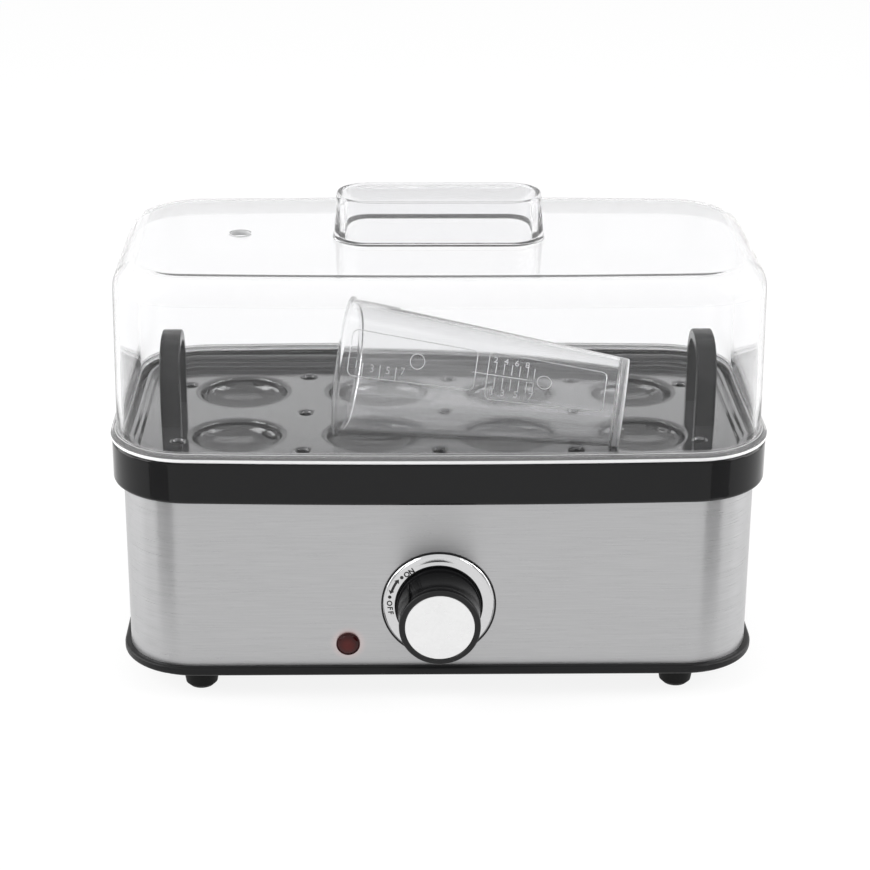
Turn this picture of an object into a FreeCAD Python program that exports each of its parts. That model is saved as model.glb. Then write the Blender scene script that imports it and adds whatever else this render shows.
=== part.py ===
import FreeCAD, Part
import math
import os

import Sketcher
from FreeCAD import Placement, Rotation, Vector

# Electric steam boiler for eight eggs.
# Millimetres, +Z up, +X to the right, the dial faces -Y. The feet stand on Z = 0.
# Every piece is drawn about the middle of the housing; one shift in Y then centres the whole
# object, dial included, on the origin.

doc = FreeCAD.newDocument("egg_boiler")

# ---------------------------------------------------------------------------------------------
# Driving dimensions
# ---------------------------------------------------------------------------------------------

DIMENSIONS = {
    # general fits
    "slip": 0.3,  # gap round pieces that lift out
    "seat_gap": 0.1,  # gap between pieces that are fixed together
    "shaft_gap": 0.05,  # radial running clearance of the switch shaft
    # rim
    "rim_width": 252.0,
    "rim_depth": 132.0,
    "rim_corner": 31.0,
    "rim_height": 17.0,
    "rim_edge": 1.6,
    "bow_radius": 2200.0,
    "rim_skirt": 4.5,
    "ledge_thickness": 4.0,
    "rim_wall": 6.2,
    "rim_wall_front": 8.2,
    "groove_depth": 2.6,
    "post_radius": 4.0,
    "post_inset": 14.5,
    "post_inset_front": 13.5,
    # stainless housing
    "shell_inset": 4.0,
    "shell_inset_front": 5.0,
    "shell_height": 69.0,
    "shell_thickness": 0.8,
    # base plate
    "base_flange": 2.5,
    "base_thickness": 3.5,
    "base_lip": 2.0,
    "base_lip_height": 3.5,
    "base_edge": 1.2,
    "vent_slot_length": 30.0,
    "vent_slot_width": 3.0,
    "vent_slot_pitch": 8.0,
    "vent_slot_count": 7,
    "boss_radius": 5.5,
    "boss_height": 6.0,
    # feet
    "foot_height": 10.0,
    "foot_radius": 7.4,
    "foot_tip_radius": 6.2,
    "foot_edge": 1.4,
    "foot_inset": 28.6,
    "foot_inset_front": 12.0,
    # screws
    "screw_radius": 1.5,
    "screw_head_radius": 2.9,
    "screw_head_height": 1.9,
    "screw_play": 0.3,
    "case_screw_length": 16.0,
    "foot_screw_length": 13.0,
    # water pan and seal
    "seal_thickness": 1.0,
    "pan_flange": 10.3,
    "pan_sheet": 1.0,
    "pan_depth": 21.0,
    "pan_corner": 15.5,
    "pan_radius": 5.0,
    "pan_screw_length": 5.0,
    "pan_head_radius": 2.8,
    "pan_head_height": 0.6,
    # heater
    "plate_length": 150.0,
    "plate_width": 62.0,
    "plate_corner": 12.0,
    "plate_thickness": 3.0,
    "element_radius": 3.25,
    "element_bend": 18.0,
    "element_straight": 92.0,
    "element_end_x": 52.0,
    "pin_radius": 1.25,
    "pin_length": 9.0,
    "tab_width": 6.3,
    "tab_thickness": 0.8,
    "tab_length": 8.0,
    "clamp_x": 34.0,
    "clamp_back_x": 24.0,
    "clamp_width": 8.0,
    "clamp_length": 52.0,
    "clamp_thickness": 1.2,
    # thermostat and thermal fuse
    "thermostat_x": 6.0,
    "thermostat_radius": 8.2,
    "thermostat_height": 9.0,
    "thermostat_ear": 0.8,
    "thermostat_ear_width": 13.0,
    "thermostat_ear_end": 0.8,
    "thermostat_screw_gap": 0.6,
    "fuse_offset": 3.0,
    "fuse_radius": 2.0,
    "fuse_length": 12.0,
    "fuse_lead_radius": 0.5,
    "fuse_lead_length": 7.0,
    "clip_thickness": 0.8,
    "clip_width": 5.0,
    "clip_ear": 7.0,
    # dial
    "dial_height": 25.9,
    "dial_x": -0.6,
    "dial_radius": 22.0,
    "dial_opening": 16.8,
    "dial_thickness": 2.2,
    "dial_bead": 1.1,
    "dial_face": 1.5,
    "dial_floor": 0.8,
    "bush_radius": 4.9,
    "bush_length": 5.2,
    "nut_width": 13.0,
    "nut_height": 2.2,
    "switch_width": 27.0,
    "switch_height": 24.0,
    "switch_depth": 15.0,
    "shaft_radius": 3.0,
    "shaft_bore": 10.0,
    "shaft_flat_length": 7.0,
    "shaft_flat_depth": 2.0,
    "knob_radius": 15.9,
    "knob_skirt_radius": 16.2,
    "knob_skirt_height": 3.2,
    "knob_reach": 20.5,
    "knob_wall": 2.2,
    "knob_cavity": 11.0,
    "knob_hub_radius": 5.6,
    "knob_edge": 0.9,
    "cap_radius": 13.2,
    "cap_thickness": 1.0,
    "cap_edge": 0.3,
    # lamp
    "lamp_height": 9.3,
    "lamp_x": 35.5,
    "lamp_radius": 4.6,
    "lamp_flange": 0.8,
    "lamp_dome": 1.5,
    "lamp_barrel": 3.9,
    "lamp_bore": 2.9,
    "lamp_length": 12.0,
    "holder_radius": 5.6,
    "holder_thickness": 1.6,
    "bulb_radius": 2.5,
    "bulb_length": 9.0,
    # terminal block and cord inlet
    "block_length": 32.0,
    "block_width": 16.0,
    "block_height": 14.0,
    "block_inset": 64.0,
    "block_y": 30.0,
    "block_pitch": 10.0,
    "block_bore": 2.1,
    "block_screw_radius": 1.9,
    "gland_inset": 38.0,
    "gland_height": 16.0,
    "gland_flange_radius": 8.5,
    "gland_flange": 2.2,
    "gland_radius": 6.0,
    "gland_length": 12.0,
    "gland_bore": 3.4,
    "gland_nut_radius": 9.5,
    "gland_nut": 3.0,
    # egg tray
    "tray_thickness": 1.8,
    "tray_rise": 4.3,
    "tray_step_rise": 2.0,
    "tray_step_inset": 1.7,
    "tray_edge": 1.8,
    "cup_margin": 14.7,
    "cup_margin_front": 8.1,
    "cup_radius": 18.6,
    "cup_lip": 1.6,
    "cup_depth": 9.0,
    "cup_floor_radius": 6.0,
    "steam_hole_radius": 2.5,
    "steam_sink": 0.9,
    "steam_row_inset": 16.0,
    "steam_end_inset": 18.5,
    "steam_end_inset_front": 25.5,
    # tray grips
    "grip_inset": 18.5,
    "grip_width": 8.0,
    "grip_span": 33.0,
    "grip_height": 34.0,
    "grip_corner": 15.0,
    "grip_strap": 4.0,
    "grip_edge": 0.8,
    "tenon_depth": 2.6,
    "tenon_width": 5.0,
    # lid
    "lid_overhang": 0.4,
    "lid_flange": 2.2,
    "lid_inset": 1.7,
    "lid_inset_front": 3.7,
    "lid_draft": 1.0,
    "lid_height": 69.5,
    "lid_wall": 2.0,
    "lid_rib": 1.2,
    "lid_rib_depth": 2.2,
    "lid_radius": 10.0,
    "lid_vent_radius": 3.9,
    "lid_vent_inset": 47.3,
    "lid_vent_y": 2.0,
    "ring_half_width": 39.5,
    "ring_half_depth": 14.6,
    "ring_corner": 12.5,
    "ring_height": 17.0,
    "ring_wall": 2.2,
    "ring_flare": 1.1,
    # measuring cup
    "beaker_length": 109.0,
    "beaker_mouth_radius": 26.4,
    "beaker_lip_radius": 27.7,
    "beaker_lip_height": 2.0,
    "beaker_base_radius": 17.2,
    "beaker_wall": 1.2,
    "beaker_foot": 1.6,
    "beaker_x": 68.8,
    "beaker_y": 36.1,
    "beaker_turn": 172.9,
}


class Size:
    """A length that knows both its number and the sheet expression that gives it."""

    def __init__(self, value, text):
        self.value = value
        self.text = text

    def __add__(self, other):
        other = as_size(other)
        return Size(self.value + other.value, f"({self.text} + {other.text})")

    def __sub__(self, other):
        other = as_size(other)
        return Size(self.value - other.value, f"({self.text} - {other.text})")

    def __mul__(self, other):
        other = as_size(other)
        return Size(self.value * other.value, f"({self.text} * {other.text})")

    def __truediv__(self, other):
        other = as_size(other)
        return Size(self.value / other.value, f"({self.text} / {other.text})")

    def __neg__(self):
        return Size(-self.value, f"(-1 * {self.text})")


def as_size(number):
    """Turn a plain number into a Size."""
    if isinstance(number, Size):
        return number
    return Size(float(number), repr(float(number)))


def fill_sheet():
    """Write the driving dimensions into the sheet and return them as Sizes by name."""
    sheet = doc.addObject("Spreadsheet::Sheet", "dims")
    sizes = {}
    for row, (name, value) in enumerate(DIMENSIONS.items(), start=1):
        sheet.set(f"A{row}", name)
        sheet.set(f"B{row}", str(value))
        sheet.setAlias(f"B{row}", name)
        sizes[name] = Size(value, f"dims.{name}")
    doc.recompute()
    return sizes


D = fill_sheet()
ZERO = as_size(0.0)

# ---------------------------------------------------------------------------------------------
# Levels and outlines shared by several pieces
# ---------------------------------------------------------------------------------------------

base_bottom = D["foot_height"]
base_top = base_bottom + D["base_thickness"]
rim_bottom = base_top + D["shell_height"]
rim_top = rim_bottom + D["rim_height"]
ledge_bottom = rim_bottom + D["rim_skirt"]
ledge_top = ledge_bottom + D["ledge_thickness"]
flange_bottom = ledge_top + D["seal_thickness"]
flange_top = flange_bottom + D["pan_sheet"]
pan_bottom = flange_top - D["pan_depth"] - D["pan_sheet"]
plate_bottom = pan_bottom - D["plate_thickness"]
tray_bottom = flange_top + D["slip"]
tray_floor = tray_bottom + D["tray_thickness"]
tray_top = tray_floor + D["tray_rise"]
lid_top = rim_top + D["lid_height"]
ring_top = lid_top + D["ring_height"]
dial_axis = base_top + D["dial_height"]
lamp_axis = base_top + D["lamp_height"]
gland_axis = base_top + D["gland_height"]

rim_x = D["rim_width"] / 2
rim_y = D["rim_depth"] / 2
shell_x = rim_x - D["shell_inset"]
shell_y = rim_y - D["shell_inset_front"]
shell_corner = D["rim_corner"] - D["shell_inset"]
shell_inner_y = shell_y - D["shell_thickness"]
well_x = rim_x - D["rim_wall"]
well_y = rim_y - D["rim_wall_front"]
well_corner = D["rim_corner"] - D["rim_wall"]
tray_x = well_x - D["slip"]
tray_y = well_y - D["slip"]
tray_corner = well_corner - D["slip"]
basin_x = tray_x - D["pan_flange"]
basin_y = tray_y - D["pan_flange"]
lid_x = rim_x - D["lid_inset"]
lid_y = rim_y - D["lid_inset_front"]
lid_corner = D["rim_corner"] - D["lid_inset"]
post_x = shell_x - D["post_inset"]
post_y = shell_y - D["post_inset_front"]
foot_x = shell_x - D["foot_inset"]
foot_y = shell_y - D["foot_inset_front"]
cup_pitch_x = (tray_x - D["cup_margin"]) / 2
cup_pitch_y = tray_y - D["cup_margin_front"]
grip_x = tray_x - D["grip_inset"]
flange_x = rim_x + D["lid_overhang"]
flange_y = rim_y + D["lid_overhang"]

# The dial reaches further forward than the lid does backward: this shift centres the two.
shift_y = (shell_y + D["knob_reach"] - flange_y) / 2


# ---------------------------------------------------------------------------------------------
# Ways of making a piece
# ---------------------------------------------------------------------------------------------


def bind(item, prop, size):
    """Tie a property of a document object to the sheet."""
    item.setExpression(prop, as_size(size).text)


def new_body(label):
    """Start a piece; its sketches use housing coordinates."""
    body = doc.addObject("PartDesign::Body", label)
    body.Label = label
    bind(body, "Placement.Base.y", shift_y)
    return body


def new_sketch(body, name, role, offset=ZERO):
    """Start a sketch on one of the piece's own origin planes, moved along its normal."""
    sketch = body.newObject("Sketcher::SketchObject", name)
    plane = next(item for item in body.Origin.OriginFeatures if item.Role == role)
    sketch.AttachmentSupport = [(plane, "")]
    sketch.MapMode = "FlatFace"
    bind(sketch, "AttachmentOffset.Base.z", offset)
    return sketch


def constrain(sketch, kind, items, size):
    """Add a driving dimension to a sketch and tie it to the sheet."""
    size = as_size(size)
    index = sketch.addConstraint(Sketcher.Constraint(kind, *items, size.value))
    sketch.setExpression(f"Constraints[{index}]", size.text)


def locate(sketch, geo, vertex, x, y):
    """Fix a sketch point; an ordinate of nought becomes a point on the axis."""
    for ordinate, kind, axis in ((as_size(x), "DistanceX", -2), (as_size(y), "DistanceY", -1)):
        if ordinate.value == 0.0:
            sketch.addConstraint(Sketcher.Constraint("PointOnObject", geo, vertex, axis))
        else:
            constrain(sketch, kind, (-1, 1, geo, vertex), ordinate)


def circle(sketch, x, y, radius):
    """Draw a circle at a named place."""
    x, y, radius = as_size(x), as_size(y), as_size(radius)
    centre = Vector(x.value, y.value, 0)
    geo = sketch.addGeometry(Part.Circle(centre, Vector(0, 0, 1), radius.value))
    locate(sketch, geo, 3, x, y)
    constrain(sketch, "Radius", (geo,), radius)


def polygon(sketch, points):
    """Draw a closed outline through points whose places are Sizes."""
    spots = [(as_size(x), as_size(y)) for x, y in points]
    first = None
    for index, (x, y) in enumerate(spots):
        next_x, next_y = spots[(index + 1) % len(spots)]
        start = Vector(x.value, y.value, 0)
        end = Vector(next_x.value, next_y.value, 0)
        geo = sketch.addGeometry(Part.LineSegment(start, end))
        if first is None:
            first = geo
        else:
            sketch.addConstraint(Sketcher.Constraint("Coincident", geo - 1, 2, geo, 1))
        locate(sketch, geo, 1, x, y)
    sketch.addConstraint(Sketcher.Constraint("Coincident", first + len(spots) - 1, 2, first, 1))


def corner_arc(centre_x, centre_y, radius, start_degrees, end_degrees):
    """Return one arc of an outline."""
    ring = Part.Circle(Vector(centre_x, centre_y, 0), Vector(0, 0, 1), radius)
    return Part.ArcOfCircle(ring, math.radians(start_degrees), math.radians(end_degrees))


def rounded_outline(sketch, half_x, half_y, corner):
    """Draw a rectangle with round corners about the sketch's origin."""
    half_x, half_y, corner = as_size(half_x), as_size(half_y), as_size(corner)
    x, y, r = half_x.value, half_y.value, corner.value
    near_x, near_y = x - r, y - r
    front = sketch.addGeometry(Part.LineSegment(Vector(-near_x, -y, 0), Vector(near_x, -y, 0)))
    sketch.addGeometry(corner_arc(near_x, -near_y, r, -90, 0))
    right = sketch.addGeometry(Part.LineSegment(Vector(x, -near_y, 0), Vector(x, near_y, 0)))
    sketch.addGeometry(corner_arc(near_x, near_y, r, 0, 90))
    back = sketch.addGeometry(Part.LineSegment(Vector(near_x, y, 0), Vector(-near_x, y, 0)))
    sketch.addGeometry(corner_arc(-near_x, near_y, r, 90, 180))
    left = sketch.addGeometry(Part.LineSegment(Vector(-x, near_y, 0), Vector(-x, -near_y, 0)))
    last = sketch.addGeometry(corner_arc(-near_x, -near_y, r, 180, 270))
    for line in (front, right, back, left):
        following = line + 2 if line + 2 <= left else front
        sketch.addConstraint(Sketcher.Constraint("Tangent", line, 2, line + 1, 1))
        sketch.addConstraint(Sketcher.Constraint("Tangent", line + 1, 2, following, 1))
    for arc in (right + 1, back + 1, last):
        sketch.addConstraint(Sketcher.Constraint("Equal", front + 1, arc))
    for line in (front, back):
        sketch.addConstraint(Sketcher.Constraint("Horizontal", line))
    for line in (right, left):
        sketch.addConstraint(Sketcher.Constraint("Vertical", line))
    sketch.addConstraint(Sketcher.Constraint("Symmetric", front + 1, 3, back + 1, 3, -1, 1))
    constrain(sketch, "DistanceX", (-1, 1, right, 1), half_x)
    constrain(sketch, "DistanceY", (-1, 1, back, 1), half_y)
    constrain(sketch, "Radius", (front + 1,), corner)


def bowed_outline(sketch, half_x, half_y, corner):
    """Draw a round-cornered rectangle whose long sides bow gently outward."""
    half_x, half_y, corner = as_size(half_x), as_size(half_y), as_size(corner)
    bow = D["bow_radius"]
    x, y, r, big = half_x.value, half_y.value, corner.value, bow.value
    near_x = x - r
    near_y = math.sqrt((big - r) ** 2 - near_x ** 2) - (big - y)
    swing = math.degrees(math.asin(near_x / (big - r)))
    front = sketch.addGeometry(corner_arc(0, big - y, big, 270 - swing, 270 + swing))
    corner_front = sketch.addGeometry(corner_arc(near_x, -near_y, r, -90 + swing, 0))
    right = sketch.addGeometry(Part.LineSegment(Vector(x, -near_y, 0), Vector(x, near_y, 0)))
    sketch.addGeometry(corner_arc(near_x, near_y, r, 0, 90 - swing))
    back = sketch.addGeometry(corner_arc(0, y - big, big, 90 - swing, 90 + swing))
    corner_back = sketch.addGeometry(corner_arc(-near_x, near_y, r, 90 + swing, 180))
    left = sketch.addGeometry(Part.LineSegment(Vector(-x, near_y, 0), Vector(-x, -near_y, 0)))
    last = sketch.addGeometry(corner_arc(-near_x, -near_y, r, 180, 270 - swing))
    for side in (front, right, back, left):
        following = side + 2 if side + 2 <= left else front
        sketch.addConstraint(Sketcher.Constraint("Tangent", side, 2, side + 1, 1))
        sketch.addConstraint(Sketcher.Constraint("Tangent", side + 1, 2, following, 1))
    for arc in (right + 1, corner_back, last):
        sketch.addConstraint(Sketcher.Constraint("Equal", corner_front, arc))
    for line in (right, left):
        sketch.addConstraint(Sketcher.Constraint("Vertical", line))
    sketch.addConstraint(Sketcher.Constraint("Equal", front, back))
    sketch.addConstraint(Sketcher.Constraint("PointOnObject", front, 3, -2))
    sketch.addConstraint(Sketcher.Constraint("PointOnObject", back, 3, -2))
    sketch.addConstraint(
        Sketcher.Constraint("Symmetric", corner_front, 3, corner_back, 3, -1, 1)
    )
    constrain(sketch, "DistanceX", (-1, 1, right, 1), half_x)
    constrain(sketch, "DistanceY", (-1, 1, front, 3), bow - half_y)
    constrain(sketch, "Radius", (corner_front,), corner)
    constrain(sketch, "Radius", (front,), bow)


def pad(body, sketch, length, name, down=False):
    """Raise a sketch into a solid."""
    feature = body.newObject("PartDesign::Pad", name)
    feature.Profile = sketch
    feature.Reversed = down
    bind(feature, "Length", length)
    return feature


def pocket(body, sketch, length, name, up=False):
    """Cut a sketch into the piece, against its normal unless it is turned up."""
    feature = body.newObject("PartDesign::Pocket", name)
    feature.Profile = sketch
    feature.Reversed = up
    bind(feature, "Length", length)
    return feature


def loft(body, kind, first, last, name):
    """Join two sketches with an additive or subtractive loft."""
    feature = body.newObject(f"PartDesign::{kind}Loft", name)
    feature.Profile = first
    feature.Sections = [last]
    feature.Ruled = True
    return feature


def revolve(body, kind, sketch, name):
    """Turn a sketch a full circle about its vertical axis."""
    feature = body.newObject(f"PartDesign::{kind}", name)
    feature.Profile = sketch
    feature.ReferenceAxis = (sketch, ["V_Axis"])
    feature.Angle = 360.0
    return feature


def edges_of(feature, wanted):
    """Name the feature's edges that a test on their boxes picks."""
    doc.recompute()
    names = []
    for number, edge in enumerate(feature.Shape.Edges, start=1):
        if wanted(edge.BoundBox):
            names.append(f"Edge{number}")
    return names


def at_level(box, level):
    """Tell whether an edge lies flat at a level."""
    near = 0.001
    return abs(box.ZMin - level.value) < near and abs(box.ZMax - level.value) < near


def fillet(body, feature, names, radius, label):
    """Round the named edges."""
    rounded = body.newObject("PartDesign::Fillet", label)
    rounded.Base = (feature, names)
    bind(rounded, "Radius", radius)
    return rounded


def outer_edges(feature, level, half_x):
    """Name the edges at a level that belong to the outer outline."""
    limit = half_x.value - 0.5 * D["rim_corner"].value

    def wanted(box):
        reach = max(abs(box.XMin), abs(box.XMax))
        return at_level(box, level) and reach > limit

    return edges_of(feature, wanted)


def cylinder(name, radius, height, x, y, level, turn=None):
    """Return a cylinder; turn lays its axis along another direction."""
    item = doc.addObject("Part::Cylinder", name)
    bind(item, "Radius", radius)
    bind(item, "Height", height)
    if turn is not None:
        item.Placement = Placement(Vector(), turn)
    place(item, x, y, level)
    return item


def box(name, length, width, height, x, y, level):
    """Return a box whose place is the middle of its underside."""
    item = doc.addObject("Part::Box", name)
    bind(item, "Length", length)
    bind(item, "Width", width)
    bind(item, "Height", height)
    place(item, as_size(x) - as_size(length) / 2, as_size(y) - as_size(width) / 2, level)
    return item


def place(item, x, y, level):
    """Tie a primitive's place to the sheet."""
    bind(item, "Placement.Base.x", x)
    bind(item, "Placement.Base.y", y)
    bind(item, "Placement.Base.z", level)


def fuse(label, items):
    """Join primitives into one piece or one working solid."""
    item = doc.addObject("Part::MultiFuse", label)
    item.Shapes = items
    return item


def cut(label, base, tool):
    """Take one solid out of another."""
    item = doc.addObject("Part::Cut", label)
    item.Base = base
    item.Tool = tool
    return item


def group(label, items):
    """Keep like pieces together as separate solids."""
    item = doc.addObject("Part::Compound", label)
    item.Links = items
    return item


TO_BACK = Rotation(Vector(1, 0, 0), -90)
TO_FRONT = Rotation(Vector(1, 0, 0), 90)
TO_RIGHT = Rotation(Vector(0, 1, 0), 90)
CORNERS = ((1, -1), (-1, -1), (1, 1), (-1, 1))

pieces = []


def keep(piece):
    """List a finished piece; one built from primitives gets the common shift."""
    if piece.TypeId != "PartDesign::Body":
        bind(piece, "Placement.Base.y", shift_y)
    pieces.append(piece)
    return piece


# ---------------------------------------------------------------------------------------------
# Housing
# ---------------------------------------------------------------------------------------------


def build_base_plate():
    """Moulded floor: flange under the shell, locating lip inside it, bosses and air slots."""
    body = new_body("base_plate")
    plate_x = shell_x + D["base_flange"]
    plate_y = shell_y + D["base_flange"]
    plate = new_sketch(body, "base_outline", "XY_Plane", base_bottom)
    rounded_outline(plate, plate_x, plate_y, shell_corner + D["base_flange"])
    slab = pad(body, plate, D["base_thickness"], "base_slab")

    def flange_rim(edge_box):
        return edge_box.ZMax - edge_box.ZMin < 0.001

    rounded = fillet(body, slab, edges_of(slab, flange_rim), D["base_edge"], "base_rounding")
    body.Tip = rounded

    lip = new_sketch(body, "lip_outline", "XY_Plane", base_top)
    inset = D["shell_thickness"] + D["seat_gap"]
    rounded_outline(lip, shell_x - inset, shell_y - inset, shell_corner - inset)
    inner = inset + D["base_lip"]
    rounded_outline(lip, shell_x - inner, shell_y - inner, shell_corner - inner)
    pad(body, lip, D["base_lip_height"], "base_lip")

    bosses = new_sketch(body, "boss_outline", "XY_Plane", base_top)
    for side_x, side_y in CORNERS:
        circle(bosses, foot_x * side_x, foot_y * side_y, D["boss_radius"])
    pad(body, bosses, D["boss_height"], "foot_bosses")

    holes = new_sketch(body, "screw_holes", "XY_Plane", base_bottom)
    for side_x, side_y in CORNERS:
        circle(holes, foot_x * side_x, foot_y * side_y, D["screw_radius"])
        circle(
            holes,
            post_x * side_x,
            post_y * side_y,
            D["screw_radius"] + D["screw_play"],
        )
    pocket(body, holes, D["base_thickness"] + D["boss_height"], "screw_bores", up=True)

    sinks = new_sketch(body, "head_recesses", "XY_Plane", base_bottom)
    for side_x, side_y in CORNERS:
        circle(
            sinks,
            post_x * side_x,
            post_y * side_y,
            D["screw_head_radius"] + D["screw_play"],
        )
    pocket(body, sinks, D["screw_head_height"] + D["slip"], "head_sinks", up=True)

    slot = new_sketch(body, "air_slot", "XY_Plane", base_bottom)
    half_length = D["vent_slot_length"] / 2
    half_width = D["vent_slot_width"] / 2
    rounded_outline(slot, half_length, half_width, half_width - D["seat_gap"])
    cut_slot = pocket(body, slot, D["base_thickness"], "air_slot_cut", up=True)
    rows = body.newObject("PartDesign::LinearPattern", "air_slots")
    rows.Originals = [cut_slot]
    rows.Direction = (slot, ["V_Axis"])
    rows.Mode = "Spacing"
    bind(rows, "Offset", D["vent_slot_pitch"])
    bind(rows, "Occurrences", (D["vent_slot_count"] + 1) / 2)
    body.Tip = rows
    back = body.newObject("PartDesign::LinearPattern", "air_slots_front")
    back.Originals = [cut_slot]
    back.Direction = (slot, ["V_Axis"])
    back.Reversed = True
    back.Mode = "Spacing"
    bind(back, "Offset", D["vent_slot_pitch"])
    bind(back, "Occurrences", (D["vent_slot_count"] + 1) / 2)
    body.Tip = back
    return keep(body)


def build_foot(label, side_x, side_y):
    """Soft foot, round with a rounded tread and a recess for its screw."""
    body = new_body(label)
    profile = new_sketch(body, f"{label}_profile", "XZ_Plane")
    hole = D["screw_radius"] + D["screw_play"] / 2
    recess = D["screw_head_radius"] + D["screw_play"]
    web = D["foot_height"] / 2
    polygon(
        profile,
        (
            (hole, web),
            (recess, web),
            (recess, ZERO),
            (D["foot_tip_radius"] - D["foot_edge"], ZERO),
            (D["foot_tip_radius"], D["foot_edge"]),
            (D["foot_radius"], D["foot_height"] - D["foot_edge"]),
            (D["foot_radius"], D["foot_height"]),
            (hole, D["foot_height"]),
        ),
    )
    revolve(body, "Revolution", profile, f"{label}_turned")
    bind(body, "Placement.Base.x", foot_x * side_x)
    bind(body, "Placement.Base.y", shift_y + foot_y * side_y)
    return keep(body)


def screw(name, x, y, level, shank, head_up=False):
    """Pan-head screw; its level is where the head meets what it holds."""
    head_level = level if head_up else level - D["screw_head_height"]
    shank_level = level - shank if head_up else level
    head = cylinder(
        f"{name}_head", D["screw_head_radius"], D["screw_head_height"], x, y, head_level
    )
    rod = cylinder(
        f"{name}_shank", D["screw_radius"] - D["seat_gap"] / 2, shank, x, y, shank_level
    )
    return fuse(name, [head, rod])


def build_base_screws():
    """Four screws through the feet and four that pull the rim's posts down."""
    feet = []
    case = []
    for number, (side_x, side_y) in enumerate(CORNERS, start=1):
        foot_level = D["foot_height"] / 2
        feet.append(
            screw(
                f"foot_screw_{number}",
                foot_x * side_x,
                foot_y * side_y,
                foot_level,
                D["foot_screw_length"],
            )
        )
        case_level = base_bottom + D["screw_head_height"] + D["slip"]
        case.append(
            screw(
                f"case_screw_{number}",
                post_x * side_x,
                post_y * side_y,
                case_level,
                D["case_screw_length"],
            )
        )
    keep(group("foot_screws", feet))
    keep(group("case_screws", case))


def build_housing_shell():
    """Brushed stainless band, held between the base plate and the rim."""
    body = new_body("housing_shell")
    outline = new_sketch(body, "shell_outline", "XY_Plane", base_top)
    sheet = D["shell_thickness"]
    rounded_outline(outline, shell_x, shell_y, shell_corner)
    rounded_outline(outline, shell_x - sheet, shell_y - sheet, shell_corner - sheet)
    pad(body, outline, D["shell_height"] + D["rim_skirt"] - D["seat_gap"], "shell_band")

    front = new_sketch(body, "front_holes", "XZ_Plane", shell_y + D["seat_gap"])
    circle(front, D["dial_x"], dial_axis, D["bush_radius"] + D["screw_play"])
    circle(front, -D["lamp_x"], lamp_axis, D["lamp_barrel"] + D["seat_gap"])
    pocket(body, front, sheet + D["seat_gap"] * 2, "front_cuts")

    rear = new_sketch(body, "rear_hole", "XZ_Plane", -(shell_y + D["seat_gap"]))
    circle(rear, gland_x, gland_axis, D["gland_radius"] + D["seat_gap"])
    pocket(body, rear, sheet + D["seat_gap"] * 2, "rear_cut", up=True)
    return keep(body)


def build_top_rim():
    """Glossy rim: skirt over the shell, ledge for the pan, well for the tray, four posts."""
    body = new_body("top_rim")
    outline = new_sketch(body, "rim_outline", "XY_Plane", rim_bottom)
    bowed_outline(outline, rim_x, rim_y, D["rim_corner"])
    band = pad(body, outline, D["rim_height"], "rim_band")

    def both_edges(edge_box):
        return edge_box.ZMax - edge_box.ZMin < 0.001

    rounded = fillet(body, band, edges_of(band, both_edges), D["rim_edge"], "rim_rounding")
    body.Tip = rounded

    skirt = new_sketch(body, "skirt_outline", "XY_Plane", rim_bottom)
    gap = D["seat_gap"]
    rounded_outline(skirt, shell_x + gap, shell_y + gap, shell_corner + gap)
    pocket(body, skirt, D["rim_skirt"], "skirt_cut", up=True)

    well = new_sketch(body, "well_outline", "XY_Plane", rim_top)
    rounded_outline(well, well_x, well_y, well_corner)
    pocket(body, well, rim_top - ledge_top, "tray_well")

    opening = new_sketch(body, "pan_opening", "XY_Plane", rim_top)
    clear = D["slip"]
    rounded_outline(opening, basin_x + clear, basin_y + clear, D["pan_corner"] + clear)
    pocket(body, opening, rim_top - ledge_bottom, "pan_opening_cut")

    groove = new_sketch(body, "groove_outline", "XY_Plane", rim_top)
    inset = D["lid_wall"] - D["lid_rib"] - D["slip"]
    bowed_outline(groove, lid_x - inset, lid_y - inset, lid_corner - inset)
    pocket(body, groove, D["groove_depth"], "lid_groove")

    posts = new_sketch(body, "post_outline", "XY_Plane", ledge_bottom)
    for side_x, side_y in CORNERS:
        circle(posts, post_x * side_x, post_y * side_y, D["post_radius"])
    pad(body, posts, ledge_bottom - base_top, "posts", down=True)

    bores = new_sketch(body, "post_bores", "XY_Plane", base_top)
    for side_x, side_y in CORNERS:
        circle(bores, post_x * side_x, post_y * side_y, D["screw_radius"])
    pocket(body, bores, D["case_screw_length"], "post_bore_cuts", up=True)

    screws = new_sketch(body, "pan_screw_bores", "XY_Plane", ledge_top)
    for side_x, side_y in CORNERS:
        circle(screws, pan_screw_x * side_x, pan_screw_y * side_y, D["screw_radius"])
    pocket(body, screws, D["ledge_thickness"], "pan_screw_cuts")
    return keep(body)


# ---------------------------------------------------------------------------------------------
# Water pan
# ---------------------------------------------------------------------------------------------

pan_screw_x = tray_x / 2
pan_screw_y = basin_y + D["pan_flange"] / 2


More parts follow.
